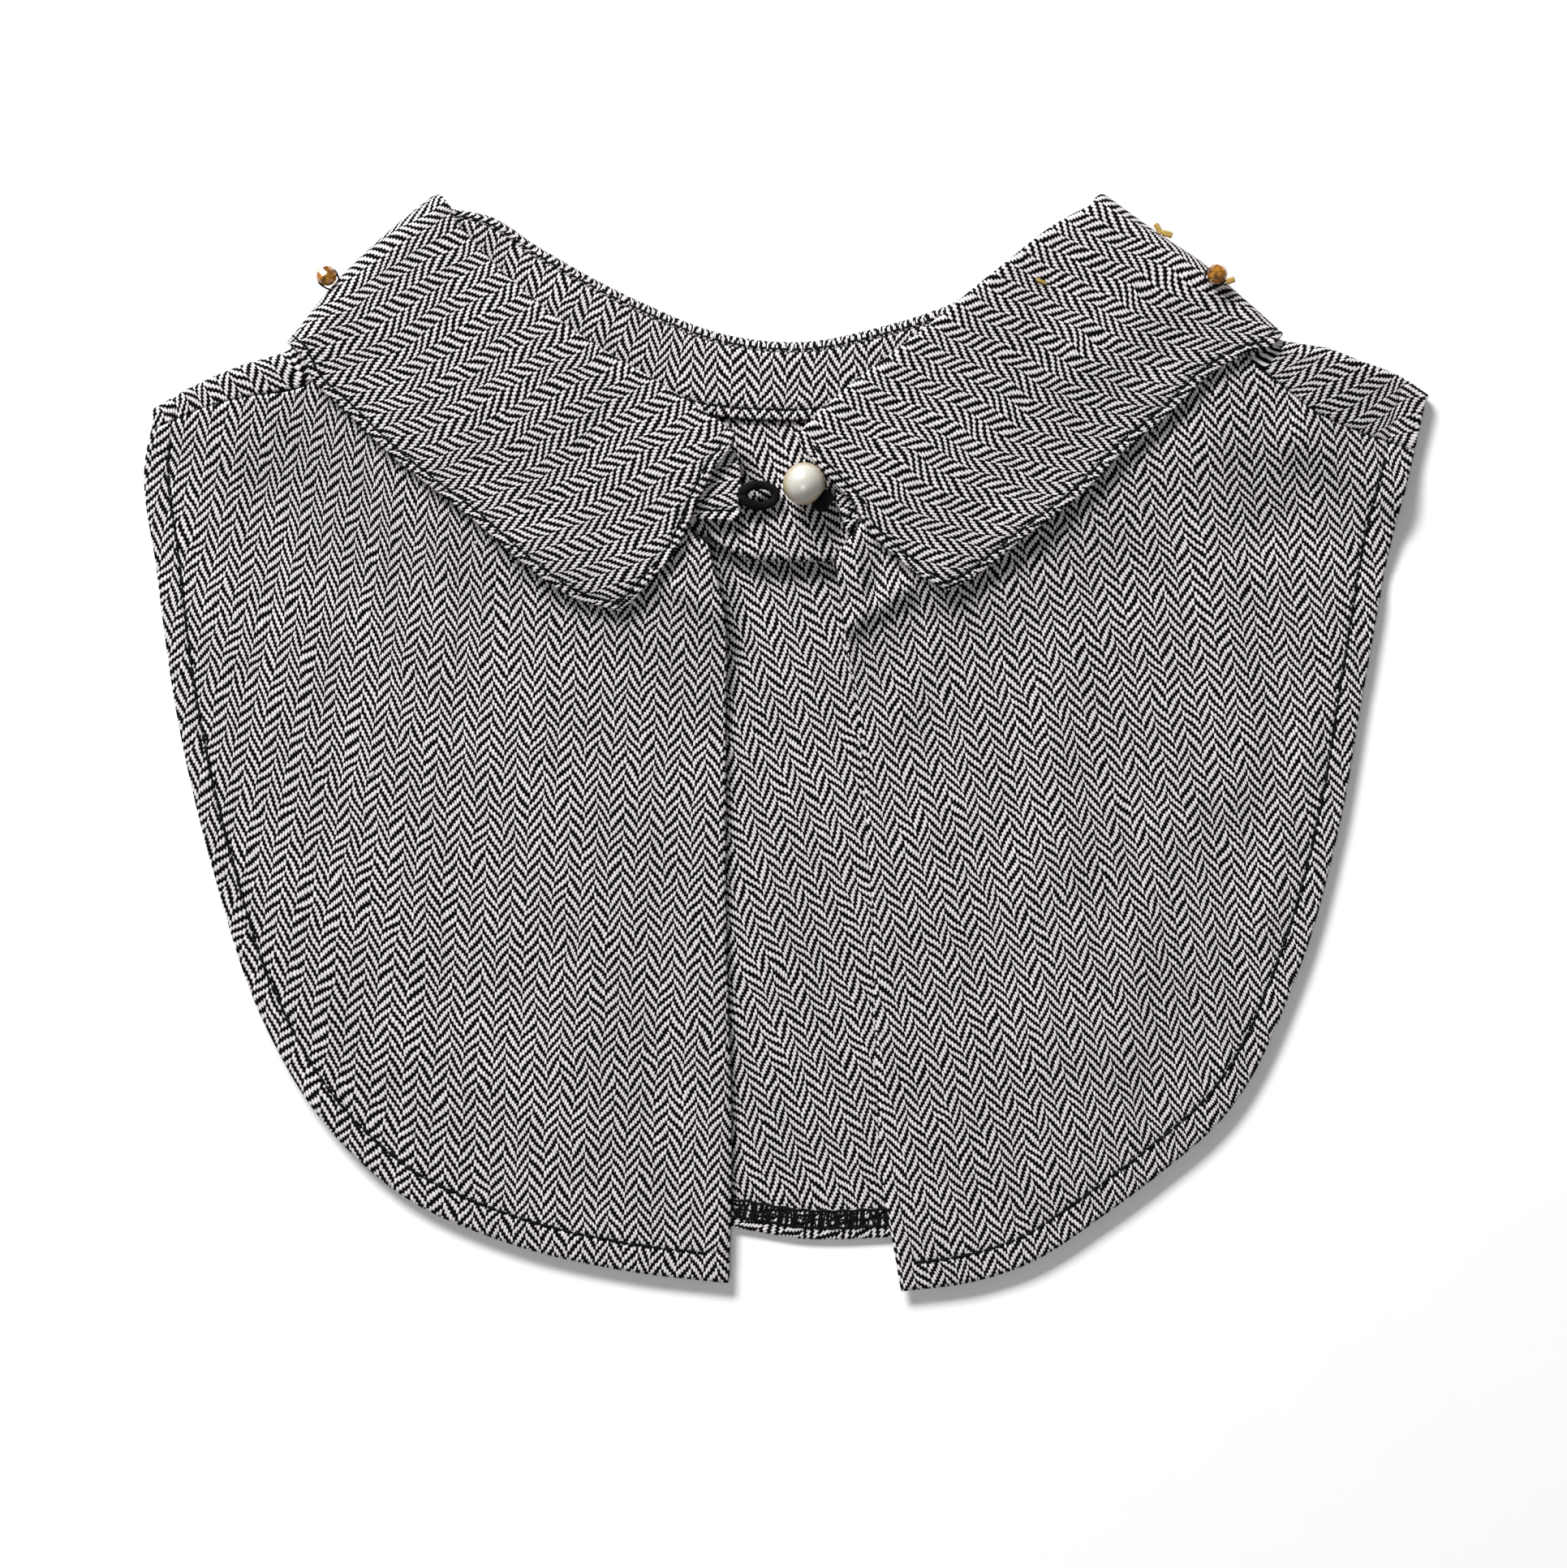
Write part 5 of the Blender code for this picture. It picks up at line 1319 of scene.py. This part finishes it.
class CollarCloth(bpy.types.PropertyGroup):
    """Sizes and colours of the cloth."""

    end_spacing: bpy.props.FloatProperty(
        name="End spacing", description="Width of one light yarn", default=0.00056, min=0.0001,
        precision=5, unit="LENGTH", subtype="DISTANCE",
    )
    pick_spacing: bpy.props.FloatProperty(
        name="Pick spacing", description="Width of one dark yarn", default=0.00073, min=0.0001,
        precision=5, unit="LENGTH", subtype="DISTANCE",
    )
    column_ends: bpy.props.IntProperty(
        name="Ends a column", description="Light yarns before the twill turns back", default=6, min=2
    )
    light_yarn: bpy.props.FloatVectorProperty(
        name="Light yarn", description="Colour of the ends", default=(0.78, 0.738, 0.745),
        min=0.0, max=1.0, size=3, subtype="COLOR",
    )
    dark_yarn: bpy.props.FloatVectorProperty(
        name="Dark yarn", description="Colour of the picks", default=(0.0015, 0.0015, 0.002),
        min=0.0, max=1.0, size=3, subtype="COLOR",
    )
    brown_yarn: bpy.props.FloatVectorProperty(
        name="Dark yarn's fibres", description="Paler fibres in the picks",
        default=(0.015, 0.013, 0.012), min=0.0, max=1.0, size=3, subtype="COLOR",
    )


class CollarTrim(bpy.types.PropertyGroup):
    """Sizes and colours of the sewing and the trimmings."""

    stitch_length: bpy.props.FloatProperty(
        name="Stitch length", description="Length of a stitch that shows", default=0.0026, min=0.0005,
        precision=4, unit="LENGTH", subtype="DISTANCE",
    )
    stitch_pitch: bpy.props.FloatProperty(
        name="Stitch pitch", description="From one stitch to the next", default=0.0028, min=0.0006,
        precision=4, unit="LENGTH", subtype="DISTANCE",
    )
    stitch_width: bpy.props.FloatProperty(
        name="Thread width", description="Width of the sewing thread", default=0.00064, min=0.0001,
        precision=5, unit="LENGTH", subtype="DISTANCE",
    )
    thread: bpy.props.FloatVectorProperty(
        name="Thread", description="Colour of the sewing thread", default=(0.003, 0.003, 0.004),
        min=0.0, max=1.0, size=3, subtype="COLOR",
    )
    elastic: bpy.props.FloatVectorProperty(
        name="Elastic", description="Colour of the loop", default=(0.003, 0.003, 0.003),
        min=0.0, max=1.0, size=3, subtype="COLOR",
    )
    pearl: bpy.props.FloatVectorProperty(
        name="Pearl", description="Colour of the top of the pearl", default=(0.56, 0.54, 0.48),
        min=0.0, max=1.0, size=3, subtype="COLOR",
    )
    # Painted shade and edge reflection of the pearl's sides: the colour that the pearl is given lower
    # down
    pearl_painted_sides: bpy.props.FloatVectorProperty(
        name="Pearl's sides", description="Colour of the pearl lower down", default=(0.46, 0.36, 0.19),
        min=0.0, max=1.0, size=3, subtype="COLOR",
    )
    amber: bpy.props.FloatVectorProperty(
        name="Amber", description="Colour of the amber beads", default=(0.78, 0.33, 0.03),
        min=0.0, max=1.0, size=3, subtype="COLOR",
    )
    gold: bpy.props.FloatVectorProperty(
        name="Gold", description="Colour of the small beads", default=(0.72, 0.50, 0.13),
        min=0.0, max=1.0, size=3, subtype="COLOR",
    )


class CollarStudio(bpy.types.PropertyGroup):
    """The floor, the lights and the camera."""

    floor: bpy.props.FloatVectorProperty(
        name="Floor", description="Colour of the floor", default=(0.97, 0.97, 0.97),
        min=0.0, max=1.0, size=3, subtype="COLOR",
    )
    key: bpy.props.FloatProperty(
        name="Key light", description="Power of the wide lamp at the upper left", default=76.0, min=0.0,
        unit="POWER",
    )
    fill: bpy.props.FloatProperty(
        name="Fill light", description="Power of the small lamp below the collar", default=7.0, min=0.0,
        unit="POWER",
    )
    sky: bpy.props.FloatProperty(
        name="Sky", description="Strength of the light from all around", default=0.17, min=0.0
    )
    lens: bpy.props.FloatProperty(
        name="Lens", description="Focal length in millimetres", default=85.0, min=20.0
    )


class COLLAR_OT_back(bpy.types.Operator):
    """Makes the back panel with its tuck and both turns over the shoulders"""

    bl_idname = "collar.back"
    bl_label = "Back panel"

    def execute(self, context):
        grid, plan = back_grid()
        uv = turned_plan(plan, 90 - BACK_LEAN)
        hem = from_edges(grid, ["last_column"])
        piece = wall("cloth_back", grid, uv, pressed(hem, HEM_STITCH, CLOTH, 0.94), cloth_finish())
        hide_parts("back_panel")
        return {"FINISHED"}


class COLLAR_OT_fronts(bpy.types.Operator):
    """Makes the two fronts with their soft folds and creases"""

    bl_idname = "collar.fronts"
    bl_label = "Fronts"

    def execute(self, context):
        for side in ("left", "right"):
            grid = front_grid(side)
            uv = leaning(grid[..., :2], FRONT_LEAN[side])
            hem = from_edges(grid, ["last_column"])
            thick = pressed(hem, HEM_STITCH, CLOTH, 0.9)
            piece = wall("cloth_front_" + side, grid, uv, thick, cloth_finish())
            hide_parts("front_" + side)
        return {"FINISHED"}


class COLLAR_OT_slubs(bpy.types.Operator):
    """Makes the small white lumps of loose fibre on the left front"""

    bl_idname = "collar.slubs"
    bl_label = "Slubs"

    def execute(self, context):
        level = creased(front_height, FRONT_CREASES)
        share = np.linspace(0.04, 0.96, 14)
        parts = []
        for x, y, length, width, degrees in SLUBS:
            way = np.array([np.cos(np.radians(degrees)), np.sin(np.radians(degrees))])
            off = (share - 0.5)[:, None] * length * way
            plan = np.array([x, y]) + off + turned(way) * (0.12 * width * np.sin(share * 9))[:, None]
            radii = width / 2 * np.sin(np.pi * share) ** 0.7 * (0.85 + 0.15 * np.sin(share * 23))
            top = level(plan[:, 0], plan[:, 1]) + HALF + 0.1
            parts.append(tube(np.concatenate([plan, top[:, None]], axis=-1), radii, 10, squash=0.55))
        colour = tuple(channel / 2 for channel in context.scene.collar_cloth.light_yarn)
        fibre = thread("white_slub_fibre", colour, 0.9, 1500.0)
        piece = mesh_object("white_slubs", *joined(parts), fibre)
        return {"FINISHED"}


class COLLAR_OT_neck(bpy.types.Operator):
    """Makes the stand and the fall, each one strip round the neck"""

    bl_idname = "collar.neck"
    bl_label = "Stand and fall"

    def execute(self, context):
        fall, stand = neck_strips()
        over = [turned_over(side, LEAF_GRAIN[side]) for side in ("left", "right")]
        across, along = neck_ways(
            LEAF_GRAIN["left"], LEAF_GRAIN["right"], over[0] + (over[1] - over[0]) * BACK_SHARES
        )
        uv = carried_map(fall, across, along, fall.shape[1] // 2)
        edge = from_edges(fall, ["last_column", "first_row", "last_row"])
        piece = wall("cloth_fall", fall, uv, pressed(edge, EDGE_STITCH, CLOTH, 0.88), cloth_finish())
        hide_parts("collar_fall")
        strip_of(fall)

        degrees = np.interp(BACK_SHARES, *np.array(STAND_GRAIN).T)
        ends = [turned_over("left", degrees[0]), turned_over("right", degrees[-1])]
        across, along = neck_ways(*ends, degrees)
        uv = strip_map(stand, across, along, stand.shape[1] // 2)
        edge = from_edges(stand, ["last_column"])
        piece = wall("cloth_stand", stand, uv, pressed(edge, BAND_STITCH, CLOTH, 0.94), cloth_finish())
        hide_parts("collar_stand")
        strip_of(stand)
        return {"FINISHED"}


class COLLAR_OT_hem(bpy.types.Operator):
    """Makes the back's turned hem and its overlocked edge"""

    bl_idname = "collar.hem"
    bl_label = "Turned hem"

    def execute(self, context):
        grid = turn_up()
        degrees = np.interp(grid[..., 0], *TURN_UP_GRAIN)
        uv = turned_plan(grid[..., :2] - np.array(TURN_UP_MIDDLE), degrees) * np.array([-1.0, 1.0])
        hem = wall("hem_turn_up", grid, uv, TURN_UP_WALL, cloth_finish())
        first, last = TURN_UP_SHOWS
        shows = grid[(grid[:, 0, 0] > first) & (grid[:, 0, 0] < last)]
        edging = mesh_object("hem_overlock", *joined(overlock(shows)), thread_finish())
        cloth, plan = back_grid()
        return {"FINISHED"}


class COLLAR_OT_sewing(bpy.types.Operator):
    """Makes the rows of black stitches along the collar's edges, the stand and the hems"""

    bl_idname = "collar.sewing"
    bl_label = "Sewing"

    def execute(self, context):
        trim = context.scene.collar_trim
        fall, stand = neck_strips()
        grid, plan = back_grid()
        length, pitch, width = (
            value * 1000 for value in (trim.stitch_length, trim.stitch_pitch, trim.stitch_width)
        )
        groups = {
            "stitches_collar": [
                (fall, "last_column", EDGE_STITCH, 1, 3, 1.0),
                (fall, "first_row", EDGE_STITCH, 1, 12, 1.0),
                (fall, "last_row", EDGE_STITCH, 1, 12, 1.0),
                (fall, "first_column", SEAM_STITCH, 1, 3, 1.0),
                (stand, "last_column", BAND_STITCH, -1, 3, 1.0),
                (stand, "last_column", BAND_STITCH, 1, 3, 1.0),
            ],
            "stitches_fronts": [
                (front_grid("left"), "last_column", HEM_STITCH, -1, 3, HEM_THREAD),
                (front_grid("right"), "last_column", HEM_STITCH, 1, 3, HEM_THREAD),
            ],
            "stitches_back": [(grid[26:-26], "last_column", HEM_STITCH, 1, 3, 1.0)],
        }
        for name, rows in groups.items():
            parts = []
            for cloth, edge, inset, facing, trimmed, wider in rows:
                line, side = inset_line(cloth, edge, inset)
                line, side = line[trimmed:-trimmed], side[trimmed:-trimmed] * facing
                parts.append(stitches(line, side, STITCH_LIFT, length, pitch, width * wider))
            points, faces = joined(parts)
            points[:, 2] = np.maximum(points[:, 2], 0.0)
            piece = mesh_object(name, points, faces, thread_finish())
        return {"FINISHED"}


class COLLAR_OT_button(bpy.types.Operator):
    """Makes the pearl button and its wound shank"""

    bl_idname = "collar.button"
    bl_label = "Pearl button"

    def execute(self, context):
        centre, radius = round_node("pearl_button")
        end = np.array([*(np.array(PEARL_AT) + SHANK_END * np.array(SHANK_WAY)), STAND_OVER + LEAF_LOFT])
        way = unit(end - centre)
        points, faces = ball(centre, radius, way, 40, 64, pearl_shape)
        off = (points - centre) @ way
        flat = np.clip(off - radius * PEARL_CAP, 0, None)
        points = points - way * (flat * 0.75)[:, None]
        piece = mesh_object("pearl", points, faces, nacre(context.scene.collar_trim, centre, radius))
        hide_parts("pearl_button")
        share = np.linspace(0, 1, 61)
        start = centre + way * (radius - SHANK_IN)
        path = start + (end - start) * share[:, None]
        radii = (SHANK_DIAMETERS[0] + (SHANK_DIAMETERS[1] - SHANK_DIAMETERS[0]) * share) / 2 - 0.2
        radii = radii * (1 - 0.35 * fade(share, 0.0, 0.25)) + 0.16 * np.abs(np.sin(share * 22))
        piece = mesh_object("shank_thread", *tube(path, radii, 28), thread_finish())
        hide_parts("button_shank")
        return {"FINISHED"}


class COLLAR_OT_loop(bpy.types.Operator):
    """Makes the black elastic loop at the left end of the stand"""

    bl_idname = "collar.loop"
    bl_label = "Elastic loop"

    def execute(self, context):
        turns = np.radians(np.linspace(-LOOP_HALF_TURN, LOOP_HALF_TURN, 100))
        x = LOOP_AT[0] + LOOP_RADII[0] * np.cos(turns)
        y = LOOP_AT[1] + LOOP_RADII[1] * np.sin(turns)
        foot = np.array([float(LOOP_AT[0])]), np.array([float(LOOP_AT[1])])
        rest = back_height(*foot)
        low = float((rest + (TUCK_TOP - rest) * puff(*foot) + HALF)[0]) + LOOP_CORD / 2 + 3 * GAP
        z = low + (STAND_OVER + LEAF_LOFT - low) * (1 - fade(-x, 5.5, 10.5))
        ring = np.stack([x, y, z], axis=-1)
        away = np.array([-1.0, 0.0, 0.0])
        lead = np.linspace(1.4, 0.1, 6)[:, None]
        path = np.vstack([ring[0] + away * lead, ring, ring[-1] + away * lead[::-1]])
        share = np.linspace(0, 1, len(path))
        braid = 0.05 * np.sin(share * 2 * np.pi * BRAID_WAVES)
        radii = LOOP_CORD / 2 * (0.92 + 0.1 * np.cos(share * 2 * np.pi)) + braid
        colour = context.scene.collar_trim.elastic
        cord = thread("black_elastic_cord", colour, 0.75, 700.0)
        piece = mesh_object("elastic_loop", *tube(path, radii, 18, squash=0.9), cord)
        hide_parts("button_loop")
        return {"FINISHED"}


class COLLAR_OT_beads(bpy.types.Operator):
    """Makes the amber beads, the small gold beads and the threads that hold them"""

    bl_idname = "collar.beads"
    bl_label = "Beads"

    def execute(self, context):
        trim = context.scene.collar_trim
        amber = glass("amber_cut_glass", tuple(trim.amber), AMBER_LINING_FACET_SHADE, 900.0)
        gold = glass("gold_lined_glass", tuple(trim.gold), GOLD_LINING_FACET_SHADE, 700.0)
        threads = []
        for side in ("left", "right"):
            node = "amber_bead_" + side
            centre, radius = round_node(node)
            at = corner(side)
            along = np.array([*at["along"], 0.25])
            points, faces = ball(centre, radius, along, 7, 8)
            piece = mesh_object("bead_" + node, points, faces, amber, smooth_shade=False)
            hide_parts(node)
            inward = -np.array([*at["outward"], 0.0])
            for shift in (-1.0, 1.0):
                start = centre + along * radius * 0.95 * shift
                end = centre + inward * (radius + 0.9) + along * radius * 0.5 * shift
                bend = (start + end) / 2 + along * 0.6 * shift + np.array([0, 0, 0.25])
                share = np.linspace(0, 1, 12)[:, None]
                path = start * (1 - share) ** 2 + bend * 2 * share * (1 - share) + end * share**2
                threads.append(tube(path, np.full(len(path), BEAD_THREAD), 6))
        piece = mesh_object("bead_threads", *joined(threads), thread_finish())

        parts = []
        for share, angle, length, width, tilt in SMALL_BEADS:
            turn = wrap("right", np.array([share]))
            out = turn["radius"][0] + HALF + 0.15 + width / 2
            plan = turn["axis"][0] - turn["inward"][0] * out * np.cos(np.radians(angle))
            centre = np.array([*plan, turn["axis_z"][0] + out * np.sin(np.radians(angle))])
            parts.append(bugle(centre, length, width, tilt))
        x, y = (np.array([value]) for value in SLIVER_AT)
        top = float(leaf_height(x, y, np.array([0.2]))[0]) + HALF
        parts.append(bugle(np.array([*SLIVER_AT, top + 0.45]), *SLIVER))
        piece = mesh_object("gold_beads", *joined(parts), gold, smooth_shade=False)
        return {"FINISHED"}


class COLLAR_OT_stage(bpy.types.Operator):
    """Makes the floor, the lights and the camera, straight above the collar"""

    bl_idname = "collar.stage"
    bl_label = "Floor, lights and camera"

    def execute(self, context):
        studio = context.scene.collar_studio
        side = np.linspace(-FLOOR_REACH, FLOOR_REACH, FLOOR_STEPS)
        x, y = np.meshgrid(side, side, indexing="ij")
        points = np.stack([x, y, np.full_like(x, FLOOR_LEVEL)], axis=-1).reshape(-1, 3)
        floor = bpy.data.meshes.new("floor")
        floor.from_pydata((points * MM).tolist(), [], quads(FLOOR_STEPS, FLOOR_STEPS).tolist())
        floor.materials.append(floor_finish(tuple(studio.floor)))
        piece = bpy.data.objects.new("floor", floor)
        context.scene.collection.objects.link(piece)
        lamp("key", *KEY_LAMP, studio.key)
        lamp("fill", *FILL_LAMP, studio.fill)
        context.scene.view_settings.view_transform = "Standard"
        world = bpy.data.worlds.new("studio")
        world.use_nodes = True
        world.node_tree.nodes["Background"].inputs[0].default_value = (1.0, 1.0, 1.0, 1.0)
        world.node_tree.nodes["Background"].inputs[1].default_value = studio.sky
        context.scene.world = world
        camera = bpy.data.cameras.new("camera")
        camera.lens = studio.lens
        camera.sensor_width = 36.0
        view = bpy.data.objects.new("camera", camera)
        x, y = in_metres([*PHOTO_MIDDLE, 0.0])[:2]
        view.location = (x, y, PHOTO_WIDTH * MM * studio.lens / camera.sensor_width + PHOTO_LEVEL * MM)
        context.scene.collection.objects.link(view)
        context.scene.camera = view
        return {"FINISHED"}


def bugle(centre, length, width, tilt):
    """A short cut bead: six sides, carried along its hole's line in the plan."""
    angle = np.radians(tilt)
    way = np.array([np.cos(angle), np.sin(angle), 0.12])
    share = np.array([-0.5, -0.42, 0.42, 0.5])
    radii = np.array([0.3, 0.5, 0.5, 0.3]) * width
    return tube(centre + unit(way) * (share * length)[:, None], radii, 6)


def lamp(name, place_at, size, power):
    """A soft lamp, of a width and a height, that faces the collar."""
    light = bpy.data.lights.new(name, "AREA")
    light.shape = "RECTANGLE"
    light.size, light.size_y = size
    light.energy = power
    made = bpy.data.objects.new(name, light)
    made.location = place_at
    made.rotation_euler = (-Vector(place_at)).to_track_quat("-Z", "Y").to_euler()
    bpy.context.scene.collection.objects.link(made)


OPERATORS = (
    COLLAR_OT_back,
    COLLAR_OT_fronts,
    COLLAR_OT_slubs,
    COLLAR_OT_neck,
    COLLAR_OT_hem,
    COLLAR_OT_sewing,
    COLLAR_OT_button,
    COLLAR_OT_loop,
    COLLAR_OT_beads,
    COLLAR_OT_stage,
)


class COLLAR_PT_panel(bpy.types.Panel):
    """The sidebar's list of the collar's pieces"""

    bl_label = "Embellished collar"
    bl_idname = "COLLAR_PT_panel"
    bl_space_type = "VIEW_3D"
    bl_region_type = "UI"
    bl_category = "Collar"

    def draw(self, context):
        for group in ("collar_cloth", "collar_trim", "collar_studio"):
            settings = getattr(context.scene, group)
            box = self.layout.box()
            for key in settings.bl_rna.properties.keys():
                if key not in ("rna_type", "name"):
                    box.prop(settings, key)
        for operator in OPERATORS:
            self.layout.operator(operator.bl_idname)


SETTINGS = {"collar_cloth": CollarCloth, "collar_trim": CollarTrim, "collar_studio": CollarStudio}
CLASSES = (*SETTINGS.values(), *OPERATORS, COLLAR_PT_panel)


def register():
    """Adds the settings, the operators and the panel."""
    for one in CLASSES:
        bpy.utils.register_class(one)
    for name, settings in SETTINGS.items():
        setattr(bpy.types.Scene, name, bpy.props.PointerProperty(type=settings))


def unregister():
    """Takes them away again."""
    for name in SETTINGS:
        delattr(bpy.types.Scene, name)
    for one in reversed(CLASSES):
        bpy.utils.unregister_class(one)


def main():
    """Makes every piece in order."""
    register()
    bpy.ops.collar.back()
    bpy.ops.collar.fronts()
    bpy.ops.collar.slubs()
    bpy.ops.collar.neck()
    bpy.ops.collar.hem()
    bpy.ops.collar.sewing()
    bpy.ops.collar.button()
    bpy.ops.collar.loop()
    bpy.ops.collar.beads()
    bpy.ops.collar.stage()


if __name__ == "__main__":
    main()
